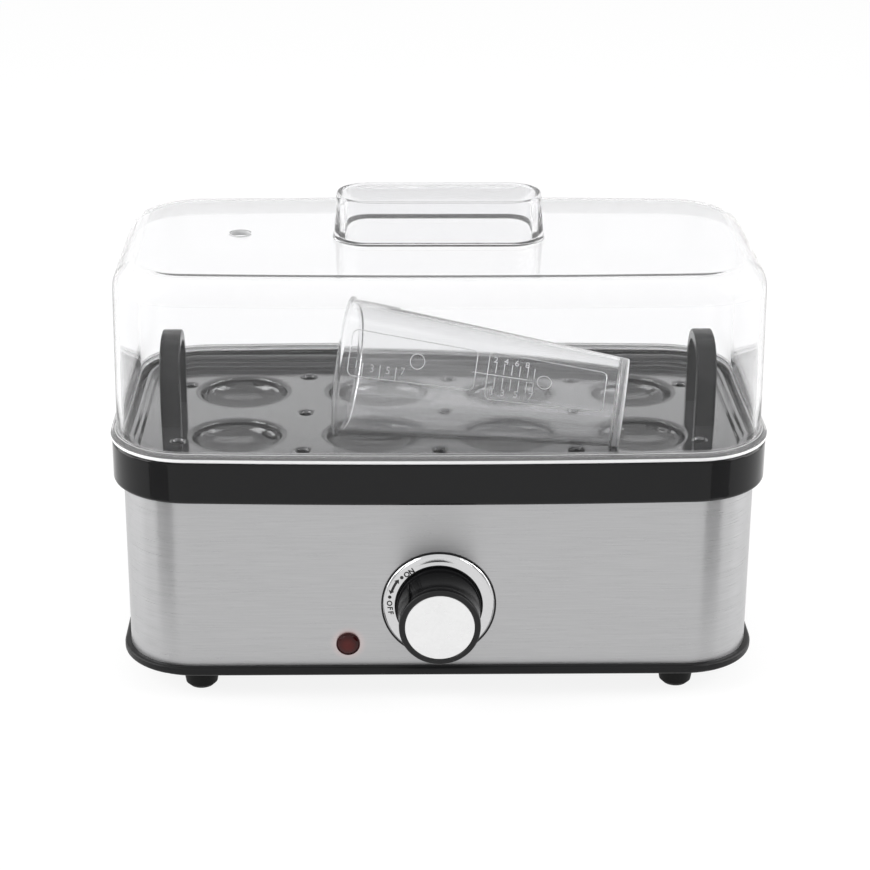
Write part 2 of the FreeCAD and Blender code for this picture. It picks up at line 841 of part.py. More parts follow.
def build_water_pan():
    """Pressed basin that the water boils in, with a flat flange on the rim's ledge."""
    body = new_body("water_pan")
    flange = new_sketch(body, "pan_flange_outline", "XY_Plane", flange_bottom)
    rounded_outline(flange, tray_x, tray_y, tray_corner)
    pad(body, flange, D["pan_sheet"], "pan_flange")

    basin = new_sketch(body, "basin_outline", "XY_Plane", flange_bottom)
    rounded_outline(basin, basin_x, basin_y, D["pan_corner"])
    pad(body, basin, flange_bottom - pan_bottom, "basin", down=True)

    hollow = new_sketch(body, "hollow_outline", "XY_Plane", flange_top)
    sheet = D["pan_sheet"]
    rounded_outline(hollow, basin_x - sheet, basin_y - sheet, D["pan_corner"] - sheet)
    opened = pocket(body, hollow, D["pan_depth"], "basin_hollow")

    def hollow_foot(edge_box):
        return at_level(edge_box, pan_bottom + D["pan_sheet"])

    inside = fillet(body, opened, edges_of(opened, hollow_foot), D["pan_radius"], "basin_inside")

    def basin_foot(edge_box):
        return at_level(edge_box, pan_bottom)

    outside = D["pan_radius"] + D["pan_sheet"]
    body.Tip = fillet(body, inside, edges_of(inside, basin_foot), outside, "basin_outside")

    for name, radius, depth in (
        ("screw_holes", D["screw_radius"] + D["seat_gap"], D["pan_sheet"]),
        ("screw_sinks", D["pan_head_radius"] + D["seat_gap"], D["pan_head_height"]),
    ):
        rings = new_sketch(body, f"pan_{name}", "XY_Plane", flange_top)
        for side_x, side_y in CORNERS:
            circle(rings, pan_screw_x * side_x, pan_screw_y * side_y, radius)
        pocket(body, rings, depth, f"pan_{name}_cut")
    return keep(body)


def build_pan_seal():
    """Flat silicone gasket between the pan's flange and the ledge."""
    body = new_body("pan_seal")
    ring = new_sketch(body, "seal_outline", "XY_Plane", ledge_top)
    gap = D["slip"]
    rounded_outline(ring, tray_x - gap, tray_y - gap, tray_corner - gap)
    rounded_outline(ring, basin_x + gap, basin_y + gap, D["pan_corner"] + gap)
    pad(body, ring, D["seal_thickness"], "seal_band")
    holes = new_sketch(body, "seal_holes", "XY_Plane", flange_bottom)
    for side_x, side_y in CORNERS:
        circle(
            holes,
            pan_screw_x * side_x,
            pan_screw_y * side_y,
            D["screw_radius"] + D["seat_gap"],
        )
    pocket(body, holes, D["seal_thickness"], "seal_cuts")
    return keep(body)


def build_pan_screws():
    """Four flush screws that clamp the pan's flange to the rim."""
    screws = []
    for number, (side_x, side_y) in enumerate(CORNERS, start=1):
        x = pan_screw_x * side_x
        y = pan_screw_y * side_y
        seat = flange_top - D["pan_head_height"]
        head = cylinder(
            f"pan_head_{number}", D["pan_head_radius"], D["pan_head_height"], x, y, seat
        )
        shank = cylinder(
            f"pan_shank_{number}",
            D["screw_radius"] - D["seat_gap"] / 2,
            D["pan_screw_length"],
            x,
            y,
            seat - D["pan_screw_length"],
        )
        screws.append(fuse(f"pan_screw_{number}", [head, shank]))
    keep(group("pan_screws", screws))


# ---------------------------------------------------------------------------------------------
# Heater, thermostat and thermal fuse
# ---------------------------------------------------------------------------------------------

element_axis = plate_bottom - D["element_radius"] - D["shaft_gap"]
clamp_top = element_axis - D["element_radius"] - D["shaft_gap"]
bend_x = D["element_end_x"] - D["element_straight"]
fuse_x = bend_x - D["fuse_offset"]


def build_heat_plate():
    """Aluminium plate that spreads the element's heat under the pan."""
    body = new_body("heat_plate")
    outline = new_sketch(body, "plate_outline", "XY_Plane", plate_bottom)
    rounded_outline(outline, D["plate_length"] / 2, D["plate_width"] / 2, D["plate_corner"])
    pad(body, outline, D["plate_thickness"], "plate")
    return keep(body)


def build_heating_element():
    """Sheathed U-shaped element with a cold pin and a push-on tab at each end."""
    legs = []
    tabs = []
    for side in (1, -1):
        y = D["element_bend"] * side
        name = "rear" if side > 0 else "front"
        legs.append(
            cylinder(
                f"element_{name}_leg",
                D["element_radius"],
                D["element_straight"],
                bend_x,
                y,
                element_axis,
                TO_RIGHT,
            )
        )
        pin = cylinder(
            f"{name}_pin",
            D["pin_radius"],
            D["pin_length"],
            D["element_end_x"],
            y,
            element_axis,
            TO_RIGHT,
        )
        tab = box(
            f"{name}_tab",
            D["tab_length"],
            D["tab_width"],
            D["tab_thickness"],
            D["element_end_x"] + D["pin_length"] + D["tab_length"] / 2,
            y,
            element_axis - D["tab_thickness"] / 2,
        )
        tabs.append(fuse(f"{name}_terminal", [pin, tab]))
    bend = doc.addObject("Part::Torus", "element_turn")
    bind(bend, "Radius1", D["element_bend"])
    bind(bend, "Radius2", D["element_radius"])
    bend.Angle3 = 180.0
    bend.Placement = Placement(Vector(), Rotation(Vector(0, 0, 1), 90))
    place(bend, bend_x, ZERO, element_axis)
    keep(fuse("heating_element", legs + [bend]))
    keep(group("element_terminals", tabs))


def build_element_clamps():
    """Two steel bars that press the element to its plate, each with a screw."""
    bars = []
    screws = []
    for name, x in (("inner", -D["clamp_back_x"]), ("outer", D["clamp_x"])):
        level = clamp_top - D["clamp_thickness"]
        bar = box(
            f"{name}_bar", D["clamp_width"], D["clamp_length"], D["clamp_thickness"], x, ZERO, level
        )
        hole = cylinder(
            f"{name}_hole",
            D["screw_radius"] + D["seat_gap"],
            D["clamp_thickness"],
            x,
            ZERO,
            level,
        )
        bars.append(cut(f"{name}_clamp", bar, hole))
        screws.append(screw(f"{name}_clamp_screw", x, ZERO, level, plate_bottom - level))
    keep(group("element_clamps", bars))
    keep(group("clamp_screws", screws))


def build_thermostat():
    """Disc thermostat on two ears, pressed to the plate between the element's legs."""
    x = D["thermostat_x"]
    ear_level = plate_bottom - D["thermostat_ear"]
    screw_reach = D["thermostat_radius"] + D["thermostat_screw_gap"] + D["screw_head_radius"]
    ear_reach = screw_reach + D["screw_radius"] + D["thermostat_ear_end"]
    can = cylinder(
        "thermostat_can",
        D["thermostat_radius"],
        D["thermostat_height"],
        x,
        ZERO,
        plate_bottom - D["thermostat_height"],
    )
    ears = box(
        "thermostat_ears",
        ear_reach * 2,
        D["thermostat_ear_width"],
        D["thermostat_ear"],
        x,
        ZERO,
        ear_level,
    )
    blades = []
    holes = []
    screws = []
    for side in (1, -1):
        blades.append(
            box(
                f"thermostat_blade_{'right' if side > 0 else 'left'}",
                D["tab_thickness"],
                D["tab_width"],
                D["tab_length"],
                x + D["thermostat_radius"] / 2 * side,
                ZERO,
                plate_bottom - D["thermostat_height"] - D["tab_length"],
            )
        )
        screw_x = x + screw_reach * side
        name = f"thermostat_screw_{'right' if side > 0 else 'left'}"
        holes.append(
            cylinder(
                f"{name}_hole",
                D["screw_radius"],
                D["thermostat_ear"],
                screw_x,
                ZERO,
                ear_level,
            )
        )
        screws.append(screw(name, screw_x, ZERO, ear_level, D["thermostat_ear"]))
    solid = fuse("thermostat_solid", [can, ears] + blades)
    keep(cut("thermostat", solid, fuse("thermostat_holes", holes)))
    keep(group("thermostat_screws", screws))


def build_thermal_fuse():
    """Thermal cut-off held against the plate by a small saddle clip."""
    level = plate_bottom - D["fuse_radius"] - D["shaft_gap"]
    start_x = fuse_x - D["fuse_length"] / 2
    barrel = cylinder(
        "fuse_barrel", D["fuse_radius"], D["fuse_length"], start_x, ZERO, level, TO_RIGHT
    )
    leads = cylinder(
        "fuse_leads",
        D["fuse_lead_radius"],
        D["fuse_length"] + D["fuse_lead_length"],
        start_x - D["fuse_lead_length"] / 2,
        ZERO,
        level,
        TO_RIGHT,
    )
    keep(fuse("thermal_fuse", [barrel, leads]))

    body = new_body("fuse_clip")
    profile = new_sketch(body, "clip_profile", "YZ_Plane", fuse_x - D["clip_width"] / 2)
    inner = D["fuse_radius"] + D["seat_gap"]
    outer = inner + D["clip_thickness"]
    below = level - outer
    polygon(
        profile,
        (
            (-D["clip_ear"], plate_bottom),
            (-D["clip_ear"], plate_bottom - D["clip_thickness"]),
            (-outer, plate_bottom - D["clip_thickness"]),
            (-outer, below),
            (outer, below),
            (outer, plate_bottom - D["clip_thickness"]),
            (D["clip_ear"], plate_bottom - D["clip_thickness"]),
            (D["clip_ear"], plate_bottom),
            (inner, plate_bottom),
            (inner, below + D["clip_thickness"]),
            (-inner, below + D["clip_thickness"]),
            (-inner, plate_bottom),
        ),
    )
    pad(body, profile, D["clip_width"], "clip")
    keep(body)


# ---------------------------------------------------------------------------------------------
# Dial, switch and lamp
# ---------------------------------------------------------------------------------------------

knob_back = shell_y + D["dial_floor"] + D["slip"]
knob_front = shell_y + D["knob_reach"]


def turned_on_dial(label, points, axis_x=D["dial_x"], axis_level=dial_axis):
    """Turn a profile of (radius, distance in front of the housing's middle) pairs."""
    body = new_body(label)
    profile = new_sketch(body, f"{label}_profile", "XY_Plane")
    polygon(profile, tuple((radius, -as_size(reach)) for radius, reach in points))
    revolve(body, "Revolution", profile, f"{label}_turned")
    bind(body, "Placement.Base.x", axis_x)
    bind(body, "Placement.Base.z", axis_level)
    return keep(body)


def build_dial_bezel():
    """Chromed dish round the knob, clamped under the switch nut."""
    top = shell_y + D["dial_thickness"]
    face = shell_y + D["dial_face"]
    bead = D["dial_bead"]
    turned_on_dial(
        "dial_bezel",
        (
            (D["bush_radius"] + D["seat_gap"], shell_y),
            (D["dial_radius"], shell_y),
            (D["dial_radius"], top - bead / 2),
            (D["dial_radius"] - bead * 0.3, top - bead * 0.1),
            (D["dial_radius"] - bead * 0.6, top),
            (D["dial_radius"] - bead, top - bead * 0.1),
            (D["dial_radius"] - bead * 1.5, face + bead * 0.1),
            (D["dial_radius"] - bead * 2, face),
            (D["dial_opening"] + bead / 2, face),
            (D["dial_opening"], face - bead / 2),
            (D["dial_opening"], shell_y + D["dial_floor"]),
            (D["bush_radius"] + D["seat_gap"], shell_y + D["dial_floor"]),
        ),
    )


def build_knob():
    """Hollow knob on the shaft, with a stepped skirt and a recess for its cap."""
    recess = knob_front - D["cap_thickness"]
    outer = D["knob_radius"]
    skirt_end = knob_back + D["knob_skirt_height"]
    inner = outer - D["knob_wall"]
    turned_on_dial(
        "knob_body",
        (
            (D["shaft_radius"], knob_front - D["knob_wall"] - D["cap_thickness"]),
            (D["shaft_radius"], knob_back + D["bush_length"] - D["dial_floor"]),
            (D["knob_hub_radius"], knob_back + D["bush_length"] - D["dial_floor"]),
            (D["knob_hub_radius"], knob_back + D["knob_cavity"]),
            (inner, knob_back + D["knob_cavity"]),
            (inner, knob_back),
            (D["knob_skirt_radius"], knob_back),
            (D["knob_skirt_radius"], skirt_end - D["cap_edge"]),
            (D["knob_skirt_radius"] - D["cap_edge"], skirt_end),
            (outer, skirt_end),
            (outer - D["cap_edge"], knob_front - D["knob_edge"]),
            (outer - D["knob_edge"], knob_front),
            (D["cap_radius"] + D["seat_gap"], knob_front),
            (D["cap_radius"] + D["seat_gap"], recess),
            (ZERO, recess),
            (ZERO, knob_front - D["knob_wall"] - D["cap_thickness"]),
        ),
    )
    turned_on_dial(
        "knob_cap",
        (
            (ZERO, recess),
            (D["cap_radius"], recess),
            (D["cap_radius"], knob_front - D["cap_edge"]),
            (D["cap_radius"] - D["cap_edge"], knob_front),
            (ZERO, knob_front),
        ),
    )


def build_switch():
    """Rotary switch: boxed body with a bush through the shell, shaft and hexagon nut."""
    bush_front = shell_y + D["bush_length"]
    bore_end = shell_inner_y - D["shaft_bore"]
    case = box(
        "switch_case",
        D["switch_width"],
        D["switch_depth"],
        D["switch_height"],
        D["dial_x"],
        -shell_inner_y + D["switch_depth"] / 2,
        dial_axis - D["switch_height"] / 2,
    )
    bush = cylinder(
        "switch_bush",
        D["bush_radius"],
        bush_front - shell_inner_y + D["switch_depth"] / 2,
        D["dial_x"],
        -bush_front,
        dial_axis,
        TO_BACK,
    )
    bore = cylinder(
        "switch_bore",
        D["shaft_radius"] + D["shaft_gap"],
        bush_front - bore_end,
        D["dial_x"],
        -bush_front,
        dial_axis,
        TO_BACK,
    )
    blades = []
    for side in (1, -1):
        blades.append(
            box(
                f"switch_blade_{'right' if side > 0 else 'left'}",
                D["tab_width"],
                D["tab_length"],
                D["tab_thickness"],
                D["dial_x"] + D["switch_width"] / 4 * side,
                -shell_inner_y + D["switch_depth"] + D["tab_length"] / 2,
                dial_axis,
            )
        )
    keep(cut("switch_body", fuse("switch_solid", [case, bush] + blades), bore))

    shaft_front = knob_front - D["knob_wall"] - D["cap_thickness"]
    bore_floor = bore_end + D["slip"]
    rod = cylinder(
        "shaft_rod",
        D["shaft_radius"],
        shaft_front - bore_floor,
        D["dial_x"],
        -shaft_front,
        dial_axis,
        TO_BACK,
    )
    flat = box(
        "shaft_flat",
        D["shaft_radius"] * 2,
        D["shaft_flat_length"],
        D["shaft_radius"],
        D["dial_x"],
        -shaft_front + D["shaft_flat_length"] / 2,
        dial_axis - D["shaft_radius"] - D["shaft_flat_depth"],
    )
    keep(cut("switch_shaft", rod, flat))

    nut = new_body("switch_nut")
    hexagon = new_sketch(nut, "nut_outline", "XZ_Plane", shell_y + D["dial_floor"])
    half = D["nut_width"] / 2
    point = D["nut_width"] / math.sqrt(3)
    polygon(
        hexagon,
        (
            (D["dial_x"] + point, dial_axis),
            (D["dial_x"] + point / 2, dial_axis + half),
            (D["dial_x"] - point / 2, dial_axis + half),
            (D["dial_x"] - point, dial_axis),
            (D["dial_x"] - point / 2, dial_axis - half),
            (D["dial_x"] + point / 2, dial_axis - half),
        ),
    )
    circle(hexagon, D["dial_x"], dial_axis, D["bush_radius"] + D["shaft_gap"])
    pad(nut, hexagon, D["nut_height"], "nut")
    keep(nut)


def build_lamp():
    """Red lens through the shell, its push-on retainer and the neon bulb inside."""
    flange_face = shell_y + D["lamp_flange"]
    tail = shell_y - D["lamp_length"]
    edge = D["lamp_dome"] / 2
    turned_on_dial(
        "lamp_lens",
        (
            (ZERO, shell_y),
            (D["lamp_bore"], shell_y),
            (D["lamp_bore"], tail),
            (D["lamp_barrel"], tail),
            (D["lamp_barrel"], shell_y),
            (D["lamp_radius"], shell_y),
            (D["lamp_radius"], flange_face),
            (D["lamp_radius"] - edge, flange_face + edge),
            (D["lamp_radius"] / 2, flange_face + D["lamp_dome"]),
            (ZERO, flange_face + D["lamp_dome"]),
        ),
        -D["lamp_x"],
        lamp_axis,
    )
    behind = shell_inner_y
    turned_on_dial(
        "lamp_holder",
        (
            (D["lamp_barrel"] + D["shaft_gap"], behind),
            (D["lamp_barrel"] + D["shaft_gap"], behind - D["holder_thickness"]),
            (D["holder_radius"], behind - D["holder_thickness"]),
            (D["holder_radius"], behind),
        ),
        -D["lamp_x"],
        lamp_axis,
    )
    bulb_front = shell_y - D["slip"]
    turned_on_dial(
        "neon_bulb",
        (
            (ZERO, bulb_front),
            (D["bulb_radius"] - D["slip"], bulb_front),
            (D["bulb_radius"], bulb_front - D["slip"]),
            (D["bulb_radius"], bulb_front - D["bulb_length"]),
            (ZERO, bulb_front - D["bulb_length"]),
        ),
        -D["lamp_x"],
        lamp_axis,
    )


# ---------------------------------------------------------------------------------------------
# Mains side: terminal block and cord inlet
# ---------------------------------------------------------------------------------------------


block_x = shell_x - D["block_inset"]
gland_x = shell_x - D["gland_inset"]


def build_terminal_block():
    """Three-way screw block on the base plate."""
    x = block_x
    y = D["block_y"]
    solid = box(
        "block_solid", D["block_length"], D["block_width"], D["block_height"], x, y, base_top
    )
    bores = []
    screws = []
    for way in (-1, 0, 1):
        name = f"way_{way + 2}"
        way_x = x + D["block_pitch"] * way
        mid_level = base_top + D["block_height"] / 2
        bores.append(
            cylinder(
                f"{name}_bore",
                D["block_bore"],
                D["block_width"],
                way_x,
                y - D["block_width"] / 2,
                mid_level,
                TO_BACK,
            )
        )
        for side in (1, -1):
            screw_y = y + D["block_width"] / 4 * side
            end = "rear" if side > 0 else "front"
            bores.append(
                cylinder(
                    f"{name}_{end}_well",
                    D["block_screw_radius"] + D["seat_gap"],
                    D["block_height"] / 2,
                    way_x,
                    screw_y,
                    mid_level,
                )
            )
            screws.append(
                cylinder(
                    f"{name}_{end}_screw",
                    D["block_screw_radius"],
                    D["block_height"] / 2 - D["block_bore"] / 2,
                    way_x,
                    screw_y,
                    mid_level + D["block_bore"] / 2 - D["slip"],
                )
            )
    keep(cut("terminal_block", solid, fuse("block_bores", bores)))
    keep(group("terminal_screws", screws))


def build_cord_gland():
    """Bush in the rear wall that the mains cord passes through, and its nut inside."""
    x = gland_x
    outside = shell_y + D["gland_flange"]
    flange = cylinder(
        "gland_flange",
        D["gland_flange_radius"],
        D["gland_flange"],
        x,
        outside,
        gland_axis,
        TO_FRONT,
    )
    barrel = cylinder(
        "gland_barrel", D["gland_radius"], D["gland_length"], x, outside, gland_axis, TO_FRONT
    )
    bore = cylinder(
        "gland_hole", D["gland_bore"], D["gland_length"], x, outside, gland_axis, TO_FRONT
    )
    keep(cut("cord_gland", fuse("gland_solid", [flange, barrel]), bore))
    ring = cylinder(
        "gland_ring", D["gland_nut_radius"], D["gland_nut"], x, shell_inner_y, gland_axis, TO_FRONT
    )
    hole = cylinder(
        "gland_ring_hole",
        D["gland_radius"] + D["shaft_gap"],
        D["gland_nut"],
        x,
        shell_inner_y,
        gland_axis,
        TO_FRONT,
    )
    keep(cut("gland_nut", ring, hole))


# ---------------------------------------------------------------------------------------------
# Egg tray
# ---------------------------------------------------------------------------------------------


steam_row_y = tray_y - D["steam_row_inset"]
steam_end_x = tray_x - D["steam_end_inset"]
steam_end_y = tray_y - D["steam_end_inset_front"]
tenon_depth_y = D["grip_strap"] - D["grip_edge"]


def build_egg_tray():
    """Moulded tray: stepped raised edge, eight egg cups and countersunk steam holes."""
    body = new_body("egg_tray")
    outline = new_sketch(body, "tray_outline", "XY_Plane", tray_bottom)
    rounded_outline(outline, tray_x, tray_y, tray_corner)
    pad(body, outline, tray_top - tray_bottom, "tray_slab")

    upper = new_sketch(body, "upper_step", "XY_Plane", tray_top)
    inset = D["tray_edge"]
    rounded_outline(upper, tray_x - inset, tray_y - inset, tray_corner - inset)
    pocket(body, upper, D["tray_rise"] - D["tray_step_rise"], "upper_step_cut")
    lower = new_sketch(body, "lower_step", "XY_Plane", tray_top)
    inset = D["tray_edge"] + D["tray_step_inset"]
    rounded_outline(lower, tray_x - inset, tray_y - inset, tray_corner - inset)
    pocket(body, lower, D["tray_rise"], "floor_cut")

    bowl_out = new_sketch(body, "cup_outside", "XZ_Plane", cup_pitch_y / 2)
    bowl_in = new_sketch(body, "cup_inside", "XZ_Plane", cup_pitch_y / 2)
    first_x = cup_pitch_x * -1.5
    wall = D["tray_thickness"]
    cup_profile(bowl_out, first_x, tray_bottom, D["cup_radius"] - D["cup_lip"] + wall, wall)
    cup_hollow(bowl_in, first_x)
    turned = revolve_about(body, "Revolution", bowl_out, "cup_shell")
    hollow = revolve_about(body, "Groove", bowl_in, "cup_bowl")
    pattern = body.newObject("PartDesign::MultiTransform", "egg_cups")
    pattern.Originals = [turned, hollow]
    along = body.newObject("PartDesign::LinearPattern", "cups_along")
    along.Direction = (outline, ["H_Axis"])
    along.Mode = "Spacing"
    bind(along, "Offset", cup_pitch_x)
    along.Occurrences = 4
    across = body.newObject("PartDesign::LinearPattern", "cups_across")
    across.Direction = (outline, ["V_Axis"])
    across.Mode = "Spacing"
    bind(across, "Offset", cup_pitch_y)
    across.Occurrences = 2
    pattern.Transformations = [along, across]
    body.Tip = pattern

    steam_holes(body, "steam_holes", D["steam_hole_radius"], D["tray_thickness"])
    wide = D["steam_hole_radius"] + D["steam_sink"]
    steam_holes(body, "steam_sinks", wide, D["steam_sink"])

    slots = new_sketch(body, "grip_slots", "XY_Plane", tray_floor)
    middle_x = grip_x + D["grip_width"] / 2
    middle_y = D["grip_span"] / 2 - D["grip_strap"] / 2
    half_x = D["tenon_width"] / 2 + D["seat_gap"]
    half_y = tenon_depth_y / 2 + D["seat_gap"]
    for side_x, side_y in CORNERS:
        x = middle_x * side_x
        y = middle_y * side_y
        polygon(
            slots,
            (
                (x - half_x, y - half_y),
                (x + half_x, y - half_y),
                (x + half_x, y + half_y),
                (x - half_x, y + half_y),
            ),
        )
    pocket(body, slots, D["tray_thickness"], "grip_slot_cuts")
    return keep(body)


def cup_axis(sketch, x):
    """Give a cup's sketch a construction line to turn about."""
    start = Vector(x.value, tray_bottom.value, 0)
    end = Vector(x.value, tray_floor.value, 0)
    line = sketch.addGeometry(Part.LineSegment(start, end), True)
    locate(sketch, line, 1, x, tray_bottom)
    locate(sketch, line, 2, x, tray_floor)


def cup_profile(sketch, x, level, radius, wall):
    """Draw the underside of a cup: a shallow cone down to a round floor."""
    floor = tray_floor - D["cup_depth"] - wall
    polygon(
        sketch,
        (
            (x, level + wall / 2),
            (x, floor),
            (x + D["cup_floor_radius"] + wall / 2, floor),
            (x + radius * 0.82, floor + D["cup_depth"] * 0.42),
            (x + radius, level + wall / 2),
        ),
    )
    cup_axis(sketch, x)


def cup_hollow(sketch, x):
    """Draw the inside of a cup: bevelled lip, curved wall and flat floor."""
    radius = D["cup_radius"]
    throat = radius - D["cup_lip"]
    floor = tray_floor - D["cup_depth"]
    polygon(
        sketch,
        (
            (x, tray_floor),
            (x, floor),
            (x + D["cup_floor_radius"], floor),
            (x + throat * 0.8, floor + D["cup_depth"] * 0.4),
            (x + throat, tray_floor - D["cup_lip"] / 2),
            (x + radius, tray_floor),
        ),
    )
    cup_axis(sketch, x)


def revolve_about(body, kind, sketch, name):
    """Turn a sketch a full circle about its construction line."""
    feature = body.newObject(f"PartDesign::{kind}", name)
    feature.Profile = sketch
    feature.ReferenceAxis = (sketch, ["Axis0"])
    feature.Angle = 360.0
    return feature


def steam_holes(body, name, radius, depth):
    """Cut the steam holes between the cups and at the tray's ends."""
    sketch = new_sketch(body, name, "XY_Plane", tray_floor)
    for column in (-1, 0, 1):
        for row in (-1, 0, 1):
            circle(sketch, cup_pitch_x * column, steam_row_y * row, radius)
    for side_x, side_y in CORNERS:
        circle(sketch, steam_end_x * side_x, steam_end_y * side_y, radius)
    pocket(body, sketch, depth, f"{name}_cut")


def build_tray_handle(label, side):
    """Arched strap that stands on the tray, with a tenon under each leg."""
    body = new_body(label)
    start = grip_x if side > 0 else -(grip_x + D["grip_width"])
    arch = new_sketch(body, f"{label}_outline", "YZ_Plane", start)
    arch_outline(arch, D["grip_span"] / 2, D["grip_height"], D["grip_corner"])
    inner_span = D["grip_span"] / 2 - D["grip_strap"]
    inner_height = D["grip_height"] - D["grip_strap"]
    solid = pad(body, arch, D["grip_width"], f"{label}_arch")

    def rounded_edges(edge_box):
        across = edge_box.XMax - edge_box.XMin < 0.001
        return across and edge_box.ZMax > tray_floor.value + 1.0

    edge = fillet(body, solid, edges_of(solid, rounded_edges), D["grip_edge"], f"{label}_edge")
    body.Tip = edge
    gap = new_sketch(body, f"{label}_gap", "YZ_Plane", start)
    arch_outline(gap, inner_span, inner_height, D["grip_corner"] - D["grip_strap"])
    pocket(body, gap, D["grip_width"], f"{label}_opening", up=True)

    tenons = new_sketch(body, f"{label}_tenons", "XY_Plane", tray_floor)
    middle_x = start + D["grip_width"] / 2
    middle_y = D["grip_span"] / 2 - D["grip_strap"] / 2
    half_x = D["tenon_width"] / 2
    half_y = tenon_depth_y / 2
    for side_y in (1, -1):
        y = middle_y * side_y
        polygon(
            tenons,
            (
                (middle_x - half_x, y - half_y),
                (middle_x + half_x, y - half_y),
                (middle_x + half_x, y + half_y),
                (middle_x - half_x, y + half_y),
            ),
        )
    pad(body, tenons, D["tenon_depth"], f"{label}_feet", down=True)
    return keep(body)


def arch_outline(sketch, half_span, height, corner):
    """Draw an upright arch on the tray's floor with round shoulders."""
    y, r = half_span.value, corner.value
    low = tray_floor.value
    top = low + height.value
    left = sketch.addGeometry(Part.LineSegment(Vector(-y, top - r, 0), Vector(-y, low, 0)))
    sketch.addGeometry(Part.LineSegment(Vector(-y, low, 0), Vector(y, low, 0)))
    right = sketch.addGeometry(Part.LineSegment(Vector(y, low, 0), Vector(y, top - r, 0)))
    near = sketch.addGeometry(corner_arc(y - r, top - r, r, 0, 90))
    crown = sketch.addGeometry(Part.LineSegment(Vector(y - r, top, 0), Vector(r - y, top, 0)))
    far = sketch.addGeometry(corner_arc(r - y, top - r, r, 90, 180))
    sketch.addConstraint(Sketcher.Constraint("Coincident", left, 2, left + 1, 1))
    sketch.addConstraint(Sketcher.Constraint("Coincident", left + 1, 2, right, 1))
    sketch.addConstraint(Sketcher.Constraint("Tangent", right, 2, near, 1))
    sketch.addConstraint(Sketcher.Constraint("Tangent", near, 2, crown, 1))
    sketch.addConstraint(Sketcher.Constraint("Tangent", crown, 2, far, 1))
    sketch.addConstraint(Sketcher.Constraint("Tangent", far, 2, left, 1))
    sketch.addConstraint(Sketcher.Constraint("Vertical", left))
    sketch.addConstraint(Sketcher.Constraint("Vertical", right))
    sketch.addConstraint(Sketcher.Constraint("Horizontal", crown))
    sketch.addConstraint(Sketcher.Constraint("Symmetric", near, 3, far, 3, -2))
    locate(sketch, right, 1, half_span, tray_floor)
    constrain(sketch, "DistanceY", (-1, 1, left, 2), tray_floor)
    constrain(sketch, "DistanceY", (-1, 1, crown, 1), tray_floor + height)
    constrain(sketch, "Radius", (near,), corner)


# ---------------------------------------------------------------------------------------------
# Lid
# ---------------------------------------------------------------------------------------------


def build_clear_lid():
    """Clear dome: flange on the rim, rib inside it, stadium grip ring and one vent hole."""
    body = new_body("clear_lid")
    flange = new_sketch(body, "flange_outline", "XY_Plane", rim_top)
    bowed_outline(flange, flange_x, flange_y, D["rim_corner"] + D["lid_overhang"])
    pad(body, flange, D["lid_flange"], "lid_flange")

    draft = D["lid_draft"]
    low = new_sketch(body, "wall_base", "XY_Plane", rim_top)
    bowed_outline(low, lid_x, lid_y, lid_corner)
    high = new_sketch(body, "wall_top", "XY_Plane", lid_top)
    bowed_outline(high, lid_x - draft, lid_y - draft, lid_corner - draft)
    loft(body, "Additive", low, high, "lid_dome")

    thick = D["lid_wall"]
    inner_low = new_sketch(body, "inner_base", "XY_Plane", rim_top)
    bowed_outline(inner_low, lid_x - thick, lid_y - thick, lid_corner - thick)
    inner_high = new_sketch(body, "inner_top", "XY_Plane", lid_top - thick)
    inset = thick + draft
    bowed_outline(inner_high, lid_x - inset, lid_y - inset, lid_corner - inset)
    hollow = loft(body, "Subtractive", inner_low, inner_high, "lid_hollow")

    def hollow_edge(edge_box):
        return at_level(edge_box, lid_top - thick)

    inside = fillet(
        body, hollow, edges_of(hollow, hollow_edge), D["lid_radius"] - thick, "hollow_rounding"
    )

    def dome_edge(edge_box):
        return at_level(edge_box, lid_top)

    body.Tip = fillet(body, inside, edges_of(inside, dome_edge), D["lid_radius"], "dome_rounding")

    ring_low = new_sketch(body, "ring_base", "XY_Plane", lid_top - D["lid_wall"] / 2)
    ring_high = new_sketch(body, "ring_top", "XY_Plane", ring_top)
    flare = D["ring_flare"]
    width, depth, corner = D["ring_half_width"], D["ring_half_depth"], D["ring_corner"]
    rounded_outline(ring_low, width + flare, depth + flare, corner + flare)
    rounded_outline(ring_high, width, depth, corner)
    loft(body, "Additive", ring_low, ring_high, "ring_outside")

    well_low = new_sketch(body, "ring_well_base", "XY_Plane", lid_top)
    well_high = new_sketch(body, "ring_well_top", "XY_Plane", ring_top)
    wall = D["ring_wall"]
    foot = wall + flare / 2
    rounded_outline(well_low, width - foot, depth - foot, corner - foot)
    rounded_outline(well_high, width - wall, depth - wall, corner - wall)
    loft(body, "Subtractive", well_low, well_high, "ring_well")

    rib = new_sketch(body, "rib_outline", "XY_Plane", rim_top)
    outer = thick - D["lid_rib"]
    bowed_outline(rib, lid_x - outer, lid_y - outer, lid_corner - outer)
    bowed_outline(rib, lid_x - thick, lid_y - thick, lid_corner - thick)
    pad(body, rib, D["lid_rib_depth"], "locating_rib", down=True)

    vent_x = lid_x - D["lid_vent_inset"]
    vent = new_sketch(body, "vent", "XY_Plane", lid_top)
    circle(vent, -vent_x, D["lid_vent_y"], D["lid_vent_radius"])
    pocket(body, vent, thick, "vent_hole")
    return keep(body)


# ---------------------------------------------------------------------------------------------
# Measuring cup
# ---------------------------------------------------------------------------------------------


